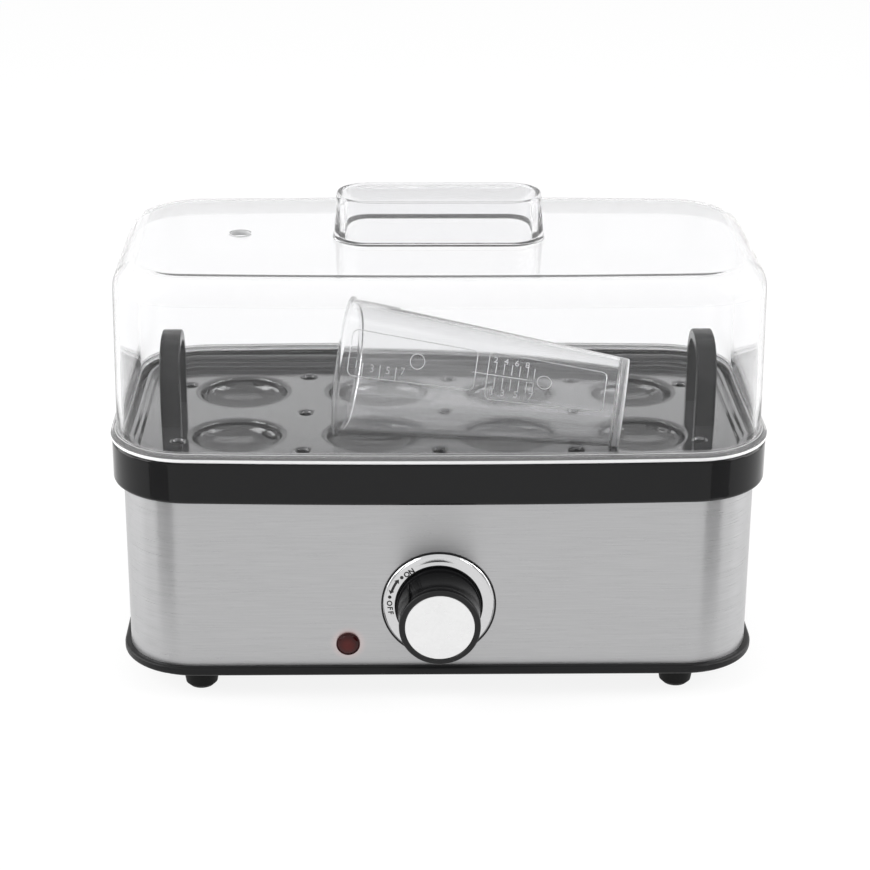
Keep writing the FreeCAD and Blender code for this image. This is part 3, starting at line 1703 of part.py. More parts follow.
def build_measuring_cup():
    """Tapered clear beaker with a turned-out lip, lying on its side on the tray."""
    body = new_body("measuring_cup")
    profile = new_sketch(body, "beaker_profile", "XZ_Plane")
    wall = D["beaker_wall"]
    length = D["beaker_length"]
    foot = D["beaker_foot"]
    base = D["beaker_base_radius"]
    polygon(
        profile,
        (
            (ZERO, foot),
            (base - wall, foot),
            (base - wall, ZERO),
            (base, ZERO),
            (D["beaker_mouth_radius"], length - D["beaker_lip_height"]),
            (D["beaker_lip_radius"], length - D["beaker_lip_height"] + wall / 2),
            (D["beaker_lip_radius"], length),
            (D["beaker_mouth_radius"] - wall, length),
            (base - wall, foot + wall),
            (ZERO, foot + wall),
        ),
    )
    revolve(body, "Revolution", profile, "beaker_turned")

    lean = math.atan((D["beaker_lip_radius"].value - base.value) / length.value)
    turn = math.radians(D["beaker_turn"].value)
    heading = Vector(math.cos(turn), math.sin(turn), 0)
    axis = heading * math.cos(lean) + Vector(0, 0, math.sin(lean))
    contact = Vector(
        D["beaker_x"].value,
        shift_y.value - D["beaker_y"].value,
        tray_floor.value + D["slip"].value,
    )
    lift = heading * (-math.sin(lean)) + Vector(0, 0, math.cos(lean))
    body.setExpression("Placement.Base.y", None)
    body.Placement = Placement(contact + lift * base.value, Rotation(Vector(0, 0, 1), axis))
    pieces.append(body)
    return body


# ---------------------------------------------------------------------------------------------
# Assembly
# ---------------------------------------------------------------------------------------------

build_base_plate()
for end, y_side in (("front", -1), ("rear", 1)):
    for hand, x_side in (("left", -1), ("right", 1)):
        build_foot(f"foot_{end}_{hand}", x_side, y_side)
build_base_screws()
build_housing_shell()
build_top_rim()
build_pan_seal()
build_water_pan()
build_pan_screws()
build_heat_plate()
build_heating_element()
build_element_clamps()
build_thermostat()
build_thermal_fuse()
build_dial_bezel()
build_switch()
build_knob()
build_lamp()
build_terminal_block()
build_cord_gland()
build_egg_tray()
build_tray_handle("tray_handle_left", -1)
build_tray_handle("tray_handle_right", 1)
build_clear_lid()
build_measuring_cup()

doc.recompute()

failed = [item.Label for item in doc.Objects if {"Invalid", "Error"} & set(item.State)]
if failed:
    raise RuntimeError(f"these did not recompute: {failed}")
for piece in pieces:
    if piece.Shape.isNull() or not piece.Shape.isValid():
        raise RuntimeError(f"{piece.Label} has no valid shape")

os.makedirs("parts", exist_ok=True)
for piece in pieces:
    piece.Shape.exportStep(f"parts/{piece.Label}.step")
    print(f"{piece.Label}: {len(piece.Shape.Solids)} solids, {piece.Shape.Volume:.1f} mm3")
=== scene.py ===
import math

import bmesh
import bpy
from mathutils import Matrix, Vector


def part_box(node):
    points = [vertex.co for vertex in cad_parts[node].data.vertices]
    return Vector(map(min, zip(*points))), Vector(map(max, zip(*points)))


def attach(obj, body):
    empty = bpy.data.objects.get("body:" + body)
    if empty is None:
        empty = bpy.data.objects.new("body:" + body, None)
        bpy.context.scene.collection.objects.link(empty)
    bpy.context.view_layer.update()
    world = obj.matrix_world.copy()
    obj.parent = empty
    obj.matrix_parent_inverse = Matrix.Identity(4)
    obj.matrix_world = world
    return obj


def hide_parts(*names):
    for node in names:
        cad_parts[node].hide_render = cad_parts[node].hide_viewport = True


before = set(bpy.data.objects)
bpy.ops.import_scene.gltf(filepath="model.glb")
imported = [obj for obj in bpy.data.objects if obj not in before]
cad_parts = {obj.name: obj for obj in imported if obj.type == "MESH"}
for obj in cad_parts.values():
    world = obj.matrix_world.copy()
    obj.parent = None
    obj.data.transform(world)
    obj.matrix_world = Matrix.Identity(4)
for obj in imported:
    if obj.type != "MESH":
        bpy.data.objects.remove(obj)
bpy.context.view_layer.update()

# ------------------------------------------------------------
# Table, studio light and camera
# A pale matt table top carries the boiler. Soft boxes, a lamp above, two low strips and a
# bright room light it evenly. A grey card at each side is there for the metal corners to
# reflect.
# ------------------------------------------------------------

shell_low, shell_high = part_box("housing_shell")
middle_y = (shell_low.y + shell_high.y) / 2


def wire(tree, *joins):
    """Link node sockets; each join is (from node, its output, to node, its input)."""
    for source, output, target, entry in joins:
        tree.links.new(source.outputs[output], target.inputs[entry])


def background_ray(tree):
    """Return a node that gives 1 to rays that see the room directly, by gloss or through glass."""
    path = tree.nodes.new("ShaderNodeLightPath")
    either, any_of = tree.nodes.new("ShaderNodeMath"), tree.nodes.new("ShaderNodeMath")
    either.operation = any_of.operation = "MAXIMUM"
    wire(
        tree,
        (path, "Is Camera Ray", either, 0),
        (path, "Is Glossy Ray", either, 1),
        (either, 0, any_of, 0),
        (path, "Is Transmission Ray", any_of, 1),
    )
    return any_of


room = bpy.data.worlds.new("studio_room")
room.use_nodes = True
bpy.context.scene.world = room
room_paint = room.node_tree.nodes["Background"]
room_paint.inputs["Color"].default_value = (1, 1, 1, 1)
room_level = room.node_tree.nodes.new("ShaderNodeMapRange")
room_level.inputs["To Min"].default_value = 0.5
room_level.inputs["To Max"].default_value = 1.0
wire(
    room.node_tree,
    (background_ray(room.node_tree), 0, room_level, "Value"),
    (room_level, "Result", room_paint, "Strength"),
)

table_material = bpy.data.materials.new("pale_table")
table_material.use_nodes = True
table_nodes = table_material.node_tree.nodes
table_nodes.remove(table_nodes["Principled BSDF"])
table_seen = background_ray(table_material.node_tree)
table_paint = table_nodes.new("ShaderNodeBsdfDiffuse")
table_tone = table_nodes.new("ShaderNodeMapRange")
table_tone.inputs["To Min"].default_value = 0.86
table_tone.inputs["To Max"].default_value = 0.16
table_glow = table_nodes.new("ShaderNodeEmission")
table_level = table_nodes.new("ShaderNodeMath")
table_level.operation = "MULTIPLY"
table_level.inputs[1].default_value = 0.87
table_sum = table_nodes.new("ShaderNodeAddShader")
wire(
    table_material.node_tree,
    (table_seen, 0, table_tone, "Value"),
    (table_tone, "Result", table_paint, "Color"),
    (table_seen, 0, table_level, 0),
    (table_level, 0, table_glow, "Strength"),
    (table_paint, 0, table_sum, 0),
    (table_glow, 0, table_sum, 1),
    (table_sum, 0, table_nodes["Material Output"], "Surface"),
)

table_mesh = bpy.data.meshes.new("table_top")
table_reach, table_top_z = 5.0, -0.0003
table_mesh.from_pydata(
    [(side_x * table_reach, side_y * table_reach, table_top_z)
     for side_x, side_y in ((-1, -1), (1, -1), (1, 1), (-1, 1))],
    [],
    [(0, 1, 2, 3)],
)
table_mesh.materials.append(table_material)
table = bpy.data.objects.new("table_top", table_mesh)
bpy.context.collection.objects.link(table)


def soft_box(name, place, aim, width, height, power):
    """Hang a rectangular lamp and turn it to a point."""
    lamp_data = bpy.data.lights.new(name, "AREA")
    lamp_data.shape = "RECTANGLE"
    lamp_data.size, lamp_data.size_y = width, height
    lamp_data.energy = power
    lamp = bpy.data.objects.new(name, lamp_data)
    lamp.location = place
    lamp.rotation_euler = (Vector(aim) - Vector(place)).to_track_quat("-Z", "Y").to_euler()
    bpy.context.collection.objects.link(lamp)
    return lamp


soft_box("left_soft_box", (-1.35, -0.55, 1.15), (0, 0, 0.08), 1.0, 1.2, 16.0)
soft_box("right_soft_box", (1.4, -0.4, 1.1), (0, 0, 0.08), 0.9, 1.1, 13.0)
top_lamp = soft_box("top_soft_box", (0.0, 0.7, 1.7), (0, 0, 0.1), 1.4, 0.7, 3.0)
top_lamp.visible_glossy = False
for name, side in (("left_strip", -1), ("right_strip", 1)):
    soft_box(name, (side * 0.75, 0.12, 0.22), (0, 0, 0.06), 0.45, 0.4, 1.6)

flag_material = bpy.data.materials.new("grey_flag")
flag_material.use_nodes = True
flag_paint = flag_material.node_tree.nodes["Principled BSDF"]
flag_paint.inputs["Base Color"].default_value = (0.6, 0.6, 0.6, 1)
flag_paint.inputs["Roughness"].default_value = 1.0


def grey_card(name, side):
    """Stand a card off one front corner, turned to it and seen only in gloss."""
    foot = Vector((side * 0.178, middle_y - 0.1275, 0))
    across = Vector((0.022, side * 0.0195, 0))
    height = Vector((0, 0, 0.3))
    corners = [foot - across, foot + across]
    corners += [point + height for point in reversed(corners)]
    data = bpy.data.meshes.new(name)
    data.from_pydata(corners, [], [(0, 1, 2, 3)])
    data.materials.append(flag_material)
    card = bpy.data.objects.new(name, data)
    bpy.context.collection.objects.link(card)
    card.visible_camera = False
    card.visible_diffuse = False
    card.visible_shadow = False
    card.visible_transmission = False


grey_card("left_card", -1)
grey_card("right_card", 1)

camera_data = bpy.data.cameras.new("camera")
focal_length, picture_width = 2312.35, 870.0  # both in pixels
camera_data.sensor_width = 36.0
camera_data.lens = 36.0 * focal_length / picture_width
camera = bpy.data.objects.new("camera", camera_data)
heading = Matrix.Rotation(math.radians(-1.35), 4, "Z")
pitch = Matrix.Rotation(math.radians(90 - 21.62), 4, "X")
roll = Matrix.Rotation(math.radians(0.34), 4, "Z")
stand = Matrix.Translation((-0.0213, middle_y - 0.8630, 0.42734))
camera.matrix_world = stand @ heading @ pitch @ roll
bpy.context.collection.objects.link(camera)
bpy.context.scene.camera = camera
bpy.context.scene.view_settings.view_transform = "Standard"

# ------------------------------------------------------------
# Base plate
# Black moulded floor whose flange shows as a thin dark line under the steel. The shell
# stands on it and four screws from below pull the rim's posts down onto it.
# ------------------------------------------------------------


def surface(name, color, metal, rough, grain, depth, spread=0.06, gloss_spread=0.1,
            stretch=(1.0, 1.0, 1.0), specular=0.5):
    """Make a material whose tone, gloss and relief follow a grain of a size in metres."""
    material = bpy.data.materials.new(name)
    material.use_nodes = True
    nodes = material.node_tree.nodes
    shader = nodes["Principled BSDF"]
    shader.inputs["Metallic"].default_value = metal
    shader.inputs["Specular IOR Level"].default_value = specular
    where = nodes.new("ShaderNodeTexCoord")
    turn = nodes.new("ShaderNodeMapping")
    turn.inputs["Scale"].default_value = stretch
    noise = nodes.new("ShaderNodeTexNoise")
    noise.inputs["Scale"].default_value = 1.0 / grain
    noise.inputs["Detail"].default_value = 5.0
    noise.inputs["Roughness"].default_value = 0.6
    tone = nodes.new("ShaderNodeMix")
    tone.data_type = "RGBA"
    tone.inputs["A"].default_value = [part * (1 - spread) for part in color] + [1]
    tone.inputs["B"].default_value = [min(1.0, part * (1 + spread)) for part in color] + [1]
    gloss = nodes.new("ShaderNodeMapRange")
    gloss.inputs["From Min"].default_value = 0.3
    gloss.inputs["From Max"].default_value = 0.7
    gloss.inputs["To Min"].default_value = rough * (1 - gloss_spread)
    gloss.inputs["To Max"].default_value = rough * (1 + gloss_spread)
    relief = nodes.new("ShaderNodeBump")
    relief.name = "relief"
    relief.inputs["Strength"].default_value = 0.5
    relief.inputs["Distance"].default_value = depth
    wire(
        material.node_tree,
        (where, "Object", turn, "Vector"),
        (turn, "Vector", noise, "Vector"),
        (noise, "Fac", tone, "Factor"),
        (tone, "Result", shader, "Base Color"),
        (noise, "Fac", gloss, "Value"),
        (gloss, "Result", shader, "Roughness"),
        (noise, "Fac", relief, "Height"),
        (relief, "Normal", shader, "Normal"),
    )
    return material


def dress(material, *nodes):
    """Give CAD nodes a finish."""
    for node in nodes:
        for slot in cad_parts[node].material_slots:
            slot.material = material


black_moulding = surface(
    "black_moulding", (0.008, 0.008, 0.0085), 0.0, 0.38, 0.0006, 0.00002, specular=0.2
)
dress(black_moulding, "base_plate", "lamp_holder", "switch_body", "cord_gland", "gland_nut")

# ------------------------------------------------------------
# Feet and base screws
# Four soft black feet, each held by a screw up through its recess, and four case screws.
# The screws are zinc-plated, with low domed heads and a cross recess.
# ------------------------------------------------------------

foot_rubber = surface(
    "foot_rubber", (0.008, 0.008, 0.008), 0.0, 0.62, 0.0004, 0.00004, specular=0.15
)
dress(foot_rubber, "foot_front_left", "foot_front_right", "foot_rear_left", "foot_rear_right")

zinc_plate = surface("zinc_plate", (0.62, 0.62, 0.64), 1.0, 0.32, 0.0005, 0.00001)
dress(zinc_plate, "pan_screws", "clamp_screws", "thermostat_screws", "element_clamps")
dress(zinc_plate, "fuse_clip", "switch_nut", "switch_shaft", "element_terminals")


def turned(profile, steps=96):
    """Spin a profile of (radius, height) pairs about Z and return the bmesh."""
    mesh = bmesh.new()
    angles = [2 * math.pi * step / steps for step in range(steps)]
    rings = []
    for radius, height in profile:
        if radius < 1e-7:
            rings.append([mesh.verts.new((0, 0, height))])
            continue
        rings.append(
            [mesh.verts.new((radius * math.cos(a), radius * math.sin(a), height)) for a in angles]
        )
    for lower, upper in zip(rings, rings[1:]):
        for step in range(steps):
            after = (step + 1) % steps
            corners = [lower[step % len(lower)]]
            if len(lower) > 1:
                corners.append(lower[after])
            if len(upper) > 1:
                corners.append(upper[after])
            corners.append(upper[step % len(upper)])
            if len(corners) > 2:
                mesh.faces.new(corners)
    bmesh.ops.recalc_face_normals(mesh, faces=mesh.faces)
    return mesh


def piece_from(mesh, name, finishes, place=None, crease=32.0):
    """Turn a bmesh into an object at the origin, smooth except at its creases."""
    if place is not None:
        bmesh.ops.transform(mesh, matrix=place, verts=mesh.verts)
    for face in mesh.faces:
        face.smooth = True
    for edge in mesh.edges:
        if len(edge.link_faces) == 2 and edge.calc_face_angle(0.0) > math.radians(crease):
            edge.smooth = False
    data = bpy.data.meshes.new(name)
    mesh.to_mesh(data)
    mesh.free()
    for finish in finishes:
        data.materials.append(finish)
    piece = bpy.data.objects.new(name, data)
    bpy.context.collection.objects.link(piece)
    return piece


def finished_tree(name, inputs):
    """Start a tree of geometry nodes whose end makes a plain mesh and gives it a finish.

    Return the tree, its input node and the node that takes what the tree makes.
    """
    tree = bpy.data.node_groups.new(name, "GeometryNodeTree")
    for label, kind in (
        ("Geometry", "NodeSocketGeometry"), *inputs, ("Finish", "NodeSocketMaterial")
    ):
        tree.interface.new_socket(label, in_out="INPUT", socket_type=kind)
    tree.interface.new_socket("Geometry", in_out="OUTPUT", socket_type="NodeSocketGeometry")
    given, made = tree.nodes.new("NodeGroupInput"), tree.nodes.new("NodeGroupOutput")
    real = tree.nodes.new("GeometryNodeRealizeInstances")
    finish = tree.nodes.new("GeometryNodeSetMaterial")
    wire(
        tree,
        (real, "Geometry", finish, "Geometry"),
        (given, "Finish", finish, "Material"),
        (finish, "Geometry", made, "Geometry"),
    )
    return tree, given, real


def patterned_tree(name, turn_by):
    """Geometry nodes that stand a pattern on each point, turned at random."""
    tree, given, real = finished_tree(name, [("Pattern", "NodeSocketObject")])
    pattern = tree.nodes.new("GeometryNodeObjectInfo")
    stand = tree.nodes.new("GeometryNodeInstanceOnPoints")
    turn = tree.nodes.new("FunctionNodeRandomValue")
    turn.data_type = "FLOAT_VECTOR"
    turn.inputs["Min"].default_value = (0, 0, 0)
    turn.inputs["Max"].default_value = (0, 0, turn_by)
    turn.inputs["Seed"].default_value = 7
    wire(
        tree,
        (given, "Geometry", stand, "Points"),
        (given, "Pattern", pattern, "Object"),
        (pattern, "Geometry", stand, "Instance"),
        (turn, "Value", stand, "Rotation"),
        (stand, "Instances", real, "Geometry"),
    )
    return tree


def grow(host, tree, settings, name):
    """Run a node tree on an object with its named inputs set, and keep the plain mesh."""
    modifier = host.modifiers.new(name, "NODES")
    modifier.node_group = tree
    for item in tree.interface.items_tree:
        if item.in_out == "INPUT" and item.name in settings:
            modifier[item.identifier] = settings[item.name]
    view = bpy.context.evaluated_depsgraph_get()
    data = bpy.data.meshes.new_from_object(host.evaluated_get(view))
    host.modifiers.remove(modifier)
    data.name = name
    piece = bpy.data.objects.new(name, data)
    bpy.context.collection.objects.link(piece)
    bpy.data.objects.remove(host)
    return piece


def points_object(name, places):
    """Make an object with a vertex at each place."""
    data = bpy.data.meshes.new(name)
    data.from_pydata(places, [], [])
    points = bpy.data.objects.new(name, data)
    bpy.context.collection.objects.link(points)
    return points


head = 0.0029  # radius of a screw's head


def cross_screw(name, shank_length):
    """Screw with its head below the origin and its shank above, cut with a cross."""
    tall = 0.0019
    shank = 0.00145
    screw = turned(
        [(0, -tall), (head * 0.5, -tall * 0.95), (head * 0.85, -tall * 0.7), (head, -tall * 0.25),
         (head, 0), (shank, 0), (shank, shank_length - 0.001), (0, shank_length)],
        steps=24,
    )
    half, arm, deep = 0.0003, 0.0016, 0.0009
    base = piece_from(screw, name, [zinc_plate])
    cross = bmesh.new()
    for size_x, size_y in ((arm, half), (half, arm)):
        block = bmesh.ops.create_cube(cross, size=2.0)
        bmesh.ops.transform(
            cross,
            matrix=Matrix.Translation((0, 0, -tall)) @ Matrix.Diagonal((size_x, size_y, deep, 1)),
            verts=block["verts"],
        )
    cutter = piece_from(cross, name + "_cross", [zinc_plate])
    sink = base.modifiers.new("cross", "BOOLEAN")
    sink.operation = "DIFFERENCE"
    sink.solver = "EXACT"
    sink.use_self = True
    sink.object = cutter
    view = bpy.context.evaluated_depsgraph_get()
    base.data = bpy.data.meshes.new_from_object(base.evaluated_get(view))
    base.modifiers.remove(sink)
    bpy.data.objects.remove(cutter)
    return base


screw_tree = patterned_tree("base_screws", turn_by=1.5)
for node, seat, shank_length in (("foot_screws", 0.005, 0.0129), ("case_screws", 0.0122, 0.0159)):
    low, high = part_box(node)
    spots = [
        (x, y, seat)
        for x in (low.x + head, high.x - head)
        for y in (low.y + head, high.y - head)
    ]
    pattern = cross_screw(node + "_pattern", shank_length)
    set_of_screws = grow(
        points_object(node + "_spots", spots),
        screw_tree,
        {"Pattern": pattern, "Finish": zinc_plate},
        node.replace("screws", "screw_set"),
    )
    bpy.data.objects.remove(pattern)
    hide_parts(node)
    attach(set_of_screws, "base")

# ------------------------------------------------------------
# Stainless shell
# Band of stainless sheet, bent round four generous corners and brushed along its length.
# It stands on the base plate and its top edge is hidden in the rim's skirt.
# ------------------------------------------------------------

brushed_steel = surface(
    "brushed_steel", (0.45, 0.45, 0.455), 1.0, 0.31, 0.012, 0.000009,
    spread=0.17, gloss_spread=0.15, stretch=(0.8, 0.8, 34.0),
)
steel_shader = brushed_steel.node_tree.nodes["Principled BSDF"]
steel_shader.inputs["Anisotropic"].default_value = 0.82
steel_shader.inputs["Anisotropic Rotation"].default_value = 0.25
dress(brushed_steel, "housing_shell")

# ------------------------------------------------------------
# Lamp
# Domed dark red lens pushed through the shell, with a retainer and a neon bulb behind it.
# The bulb's light is painted faintly into the lens and onto the steel round it as a glow.
# ------------------------------------------------------------

lens_low, lens_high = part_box("lamp_lens")
shell_front = shell_low.y
red_lens = surface(
    "red_lens", (0.035, 0.005, 0.005), 0.0, 0.12, 0.0008, 0.000005, specular=0.25
)


def on_front(low, high):
    """Place of a turned piece square on the shell's front, in the middle of a node's box."""
    return (
        Matrix.Translation(((low.x + high.x) / 2, shell_front, (low.z + high.z) / 2))
        @ Matrix.Rotation(math.radians(90), 4, "X")
    )


lens_place = on_front(lens_low, lens_high)


def paint_lamp_glow(material, color, near, far, strong, weak):
    """Paint the lamp's light on a material as a glow, fading between two distances from its
    middle.
    """
    nodes = material.node_tree.nodes
    shader = nodes["Principled BSDF"]
    shader.inputs["Emission Color"].default_value = color
    where = nodes.new("ShaderNodeTexCoord")
    reach = nodes.new("ShaderNodeVectorMath")
    reach.operation = "DISTANCE"
    reach.inputs[1].default_value = lens_place.translation
    fade = nodes.new("ShaderNodeMapRange")
    fade.interpolation_type = "SMOOTHERSTEP"
    fade.inputs["From Min"].default_value = near
    fade.inputs["From Max"].default_value = far
    fade.inputs["To Min"].default_value = strong
    fade.inputs["To Max"].default_value = weak
    wire(
        material.node_tree,
        (where, "Object", reach, 0),
        (reach, "Value", fade, "Value"),
        (fade, "Result", shader, "Emission Strength"),
    )


# Painted light: the lens and the steel round it glow with the lamp's light.
paint_lamp_glow(red_lens, (0.6, 0.05, 0.03, 1), 0.0020, 0.0044, 0.075, 0.004)
paint_lamp_glow(brushed_steel, (1.0, 0.3, 0.22, 1), 0.0042, 0.0080, 0.09, 0.0)
lens = piece_from(
    turned(
        [(0, 0.0023), (0.0012, 0.00225), (0.0024, 0.00205), (0.0034, 0.00165), (0.0040, 0.00125),
         (0.0042, 0.00095), (0.0043, 0.0011), (0.0045, 0.0010), (0.0046, 0.0008), (0.0046, 0.0),
         (0.0039, 0.0), (0.0039, -0.012), (0.0029, -0.012), (0.0029, -0.0002), (0, -0.0002)],
        steps=64,
    ),
    "lamp_dome",
    [red_lens],
    lens_place,
)
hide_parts("lamp_lens")
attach(lens, "base")

neon_glass = surface("neon_glass", (0.8, 0.5, 0.4), 0.0, 0.1, 0.001, 0.000002)
dress(neon_glass, "neon_bulb")

# ------------------------------------------------------------
# Dial
# Satin chrome dish with a polished bead round it. The marks are printed in black: ON and OFF
# with a dot each, and a double-headed arrow between them.
# ------------------------------------------------------------

dial_low, dial_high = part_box("dial_bezel")
dial_place = on_front(dial_low, dial_high)
satin_chrome = surface("satin_chrome", (0.62, 0.62, 0.625), 1.0, 0.075, 0.001, 0.000002)
bezel = piece_from(
    turned(
        [(0.0166, 0.0003), (0.0213, 0.0003), (0.02148, 0.0004), (0.02150, 0.0005),
         (0.02146, 0.00058), (0.02110, 0.00093), (0.02080, 0.00123), (0.02068, 0.00132),
         (0.02056, 0.00136), (0.02040, 0.00138), (0.02020, 0.0014), (0.01870, 0.001566),
         (0.01845, 0.001594), (0.01825, 0.00163), (0.01810, 0.00166), (0.01735, 0.00181),
         (0.01720, 0.00184), (0.01690, 0.00184), (0.01670, 0.00176), (0.01660, 0.0016),
         (0.0166, 0.0003)],
        steps=192,
    ),
    "dial_ring",
    [satin_chrome],
    dial_place,
    crease=60.0,
)
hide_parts("dial_bezel")
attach(bezel, "base")

# Black disc under the dish, a little wider than it: painted shade that shows as a thin dark line
# round the bezel and darkens the gap round the knob.
dial_well = piece_from(
    turned(
        [(0.0050, 0.0), (0.0221, 0.0), (0.0221, 0.0004), (0.0220, 0.0005), (0.0170, 0.0005),
         (0.0168, 0.0006), (0.0050, 0.0006), (0.0050, 0.0)],
        steps=192,
    ),
    "dial_well",
    [black_moulding],
    dial_place,
)
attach(dial_well, "base")

printed_black = surface("printed_black", (0.01, 0.01, 0.01), 0.0, 0.45, 0.0005, 0.000002)
print_marks = bmesh.new()


def print_level(radius):
    """Height of the printing over the sloping face at a radius."""
    inward = 0.0184 - radius
    return 0.00162 + max(inward * 0.113, inward * 0.2)


def lettering(words, size, raised, bolder=0.0):
    """Mesh of a letter or number, centred on the origin."""
    curve = bpy.data.curves.new("lettering", "FONT")
    curve.body = words
    curve.size = size
    curve.align_x, curve.align_y = "CENTER", "CENTER"
    curve.extrude = raised
    curve.offset = bolder
    holder = bpy.data.objects.new("lettering", curve)
    data = bpy.data.meshes.new_from_object(holder)
    bpy.data.objects.remove(holder)
    return data


def print_letter(letter, angle, radius, inward):
    """Print a letter on the dial at an angle, its top outward or inward."""
    data = lettering(letter, 0.0028, 0.00002, bolder=0.0001)
    spin = math.radians(90 if inward else -90)
    data.transform(
        Matrix.Rotation(math.radians(angle), 4, "Z")
        @ Matrix.Translation((radius, 0, 0))
        @ Matrix.Rotation(spin, 4, "Z")
    )
    for vertex in data.vertices:
        vertex.co.z += print_level(vertex.co.xy.length)
    print_marks.from_mesh(data)
    bpy.data.meshes.remove(data)


def print_patch(outline):
    """Print a patch given by (angle, radius) corners."""
    print_marks.faces.new([
        print_marks.verts.new(
            (r * math.cos(math.radians(a)), r * math.sin(math.radians(a)), print_level(r))
        )
        for a, r in outline
    ])


for letter, angle, radius, inward in (
    ("O", 132.4, 0.0181, False), ("N", 125.4, 0.0180, False), ("O", 176.2, 0.01905, True),
    ("F", 182.6, 0.0188, True), ("F", 188.4, 0.0187, True),
):
    print_letter(letter, angle, radius, inward)
dot = 0.0007
for angle, radius in ((139.6, 0.01865), (168.4, 0.0192)):
    print_patch([
        (angle + math.degrees(dot * math.cos(turn) / radius), radius + dot * math.sin(turn))
        for turn in [step * math.pi / 10 for step in range(20)]
    ])
for step in range(6):
    start, end = 147.2 + step * 2.3, 149.5 + step * 2.3
    print_patch([(start, 0.0186), (start, 0.0196), (end, 0.0196), (end, 0.0186)])
print_patch([(148.4, 0.0179), (147.6, 0.0191), (148.4, 0.0203), (143.6, 0.0190)])
print_patch([(160.0, 0.0205), (160.8, 0.0193), (160.0, 0.0181), (164.6, 0.0193)])
bmesh.ops.recalc_face_normals(print_marks, faces=print_marks.faces)
marks = piece_from(print_marks, "dial_marks", [printed_black], dial_place)
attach(marks, "base")

# ------------------------------------------------------------
# Knob
# Black satin knob with a stepped skirt inside the dish. A spun aluminium disc is pressed
# into its front, and a moulded line on its side points at the marks.
# ------------------------------------------------------------

knob_low, knob_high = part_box("knob_body")
knob_place = on_front(knob_low, knob_high)
front = shell_front - knob_low.y  # how far the knob stands off the shell

# The knob's black plastic in two copies: a darker one with almost no gloss on the side, which is
# painted shade, and a lighter, glossier one on the front ring, which is painted light.
knob_black = surface(
    "knob_black", (0.006, 0.006, 0.0065), 0.0, 0.2, 0.0008, 0.00001, specular=0.02
)
knob_face_lit = surface(
    "knob_face_lit", (0.011, 0.011, 0.0115), 0.0, 0.3, 0.0008, 0.00001, specular=0.25
)
knob_profile = [
    (0, front - 0.0010), (0.0133, front - 0.0010), (0.0133, front - 0.0002),
    (0.0135, front), (0.0149, front), (0.0152, front - 0.0001), (0.0154, front - 0.00035),
    (0.01545, front - 0.0008), (0.0155, front - 0.0035), (0.01535, front - 0.0038),
    (0.0157, 0.0052), (0.0158, 0.0047), (0.0161, 0.0043), (0.0162, 0.0039), (0.0162, 0.0014),
    (0.0160, 0.0011), (0.0137, 0.0011), (0.0137, 0.0121),
    (0.0056, 0.0121), (0.0056, 0.0056), (0.0030, 0.0056), (0.0030, front - 0.0032),
    (0, front - 0.0032),
]
knob_mesh = turned(knob_profile, steps=128)
pointer = bmesh.ops.create_cube(knob_mesh, size=2.0)
bmesh.ops.transform(
    knob_mesh,
    matrix=Matrix.Rotation(math.radians(137.5), 4, "Z")
    @ Matrix.Translation((0.01555, 0, (front + 0.0035) / 2))
    @ Matrix.Diagonal((0.0004, 0.0005, (front - 0.0055) / 2, 1)),
    verts=pointer["verts"],
)
bmesh.ops.bevel(
    knob_mesh,
    geom=[edge for edge in knob_mesh.edges if edge.verts[0] in pointer["verts"]
          and edge.verts[1] in pointer["verts"]],
    offset=0.0002,
    segments=2,
    affect="EDGES",
)
# Faces at the front take the lighter, glossier copy.
for face in knob_mesh.faces:
    if face.calc_center_median().z > front - 0.0004:
        face.material_index = 1
knob = piece_from(knob_mesh, "knob_shell", [knob_black, knob_face_lit], knob_place)
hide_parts("knob_body")
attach(knob, "knob")

spun_aluminium = surface("spun_aluminium", (0.82, 0.82, 0.82), 1.0, 0.3, 0.0012, 0.00001)
spun_nodes = spun_aluminium.node_tree.nodes
spun_where = spun_nodes.new("ShaderNodeTexCoord")
spun_centre = spun_nodes.new("ShaderNodeMapping")
centre_point = knob_place.translation
spun_centre.inputs["Location"].default_value = (-centre_point.x, 0, -centre_point.z)
spun_flat = spun_nodes.new("ShaderNodeVectorMath")
spun_flat.operation = "MULTIPLY"
spun_flat.inputs[1].default_value = (1, 0, 1)
spun_length = spun_nodes.new("ShaderNodeVectorMath")
spun_length.operation = "LENGTH"
spun_rings = spun_nodes.new("ShaderNodeTexNoise")
spun_rings.noise_dimensions = "1D"
spun_rings.inputs["Scale"].default_value = 5200.0
spun_shader = spun_nodes["Principled BSDF"]
spun_shader.inputs["Anisotropic"].default_value = 0.7
spun_way = spun_nodes.new("ShaderNodeTangent")
spun_way.direction_type = "RADIAL"
spun_way.axis = "Y"
wire(
    spun_aluminium.node_tree,
    (spun_where, "Object", spun_centre, "Vector"),
    (spun_centre, "Vector", spun_flat, 0),
    (spun_flat, "Vector", spun_length, 0),
    (spun_length, "Value", spun_rings, "W"),
    (spun_rings, "Fac", spun_nodes["relief"], "Height"),
    (spun_way, "Tangent", spun_shader, "Tangent"),
)
cap = piece_from(
    turned(
        [(0, front - 0.0010), (0.0132, front - 0.0010), (0.0132, front - 0.0004),
         (0.0131, front - 0.00025), (0.0129, front - 0.0002), (0.0060, front - 0.00028),
         (0, front - 0.0003)],
        steps=128,
    ),
    "knob_disc",
    [spun_aluminium],
    knob_place,
)
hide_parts("knob_cap")
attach(cap, "knob")

# ------------------------------------------------------------
# Rim
# Glossy black moulding that holds the shell, pan and tray and takes the lid. Its long sides
# bow outward a little.
# ------------------------------------------------------------

black_gloss = surface(
    "black_gloss", (0.006, 0.006, 0.0065), 0.0, 0.1, 0.004, 0.000006, specular=0.25
)
dress(black_gloss, "top_rim")

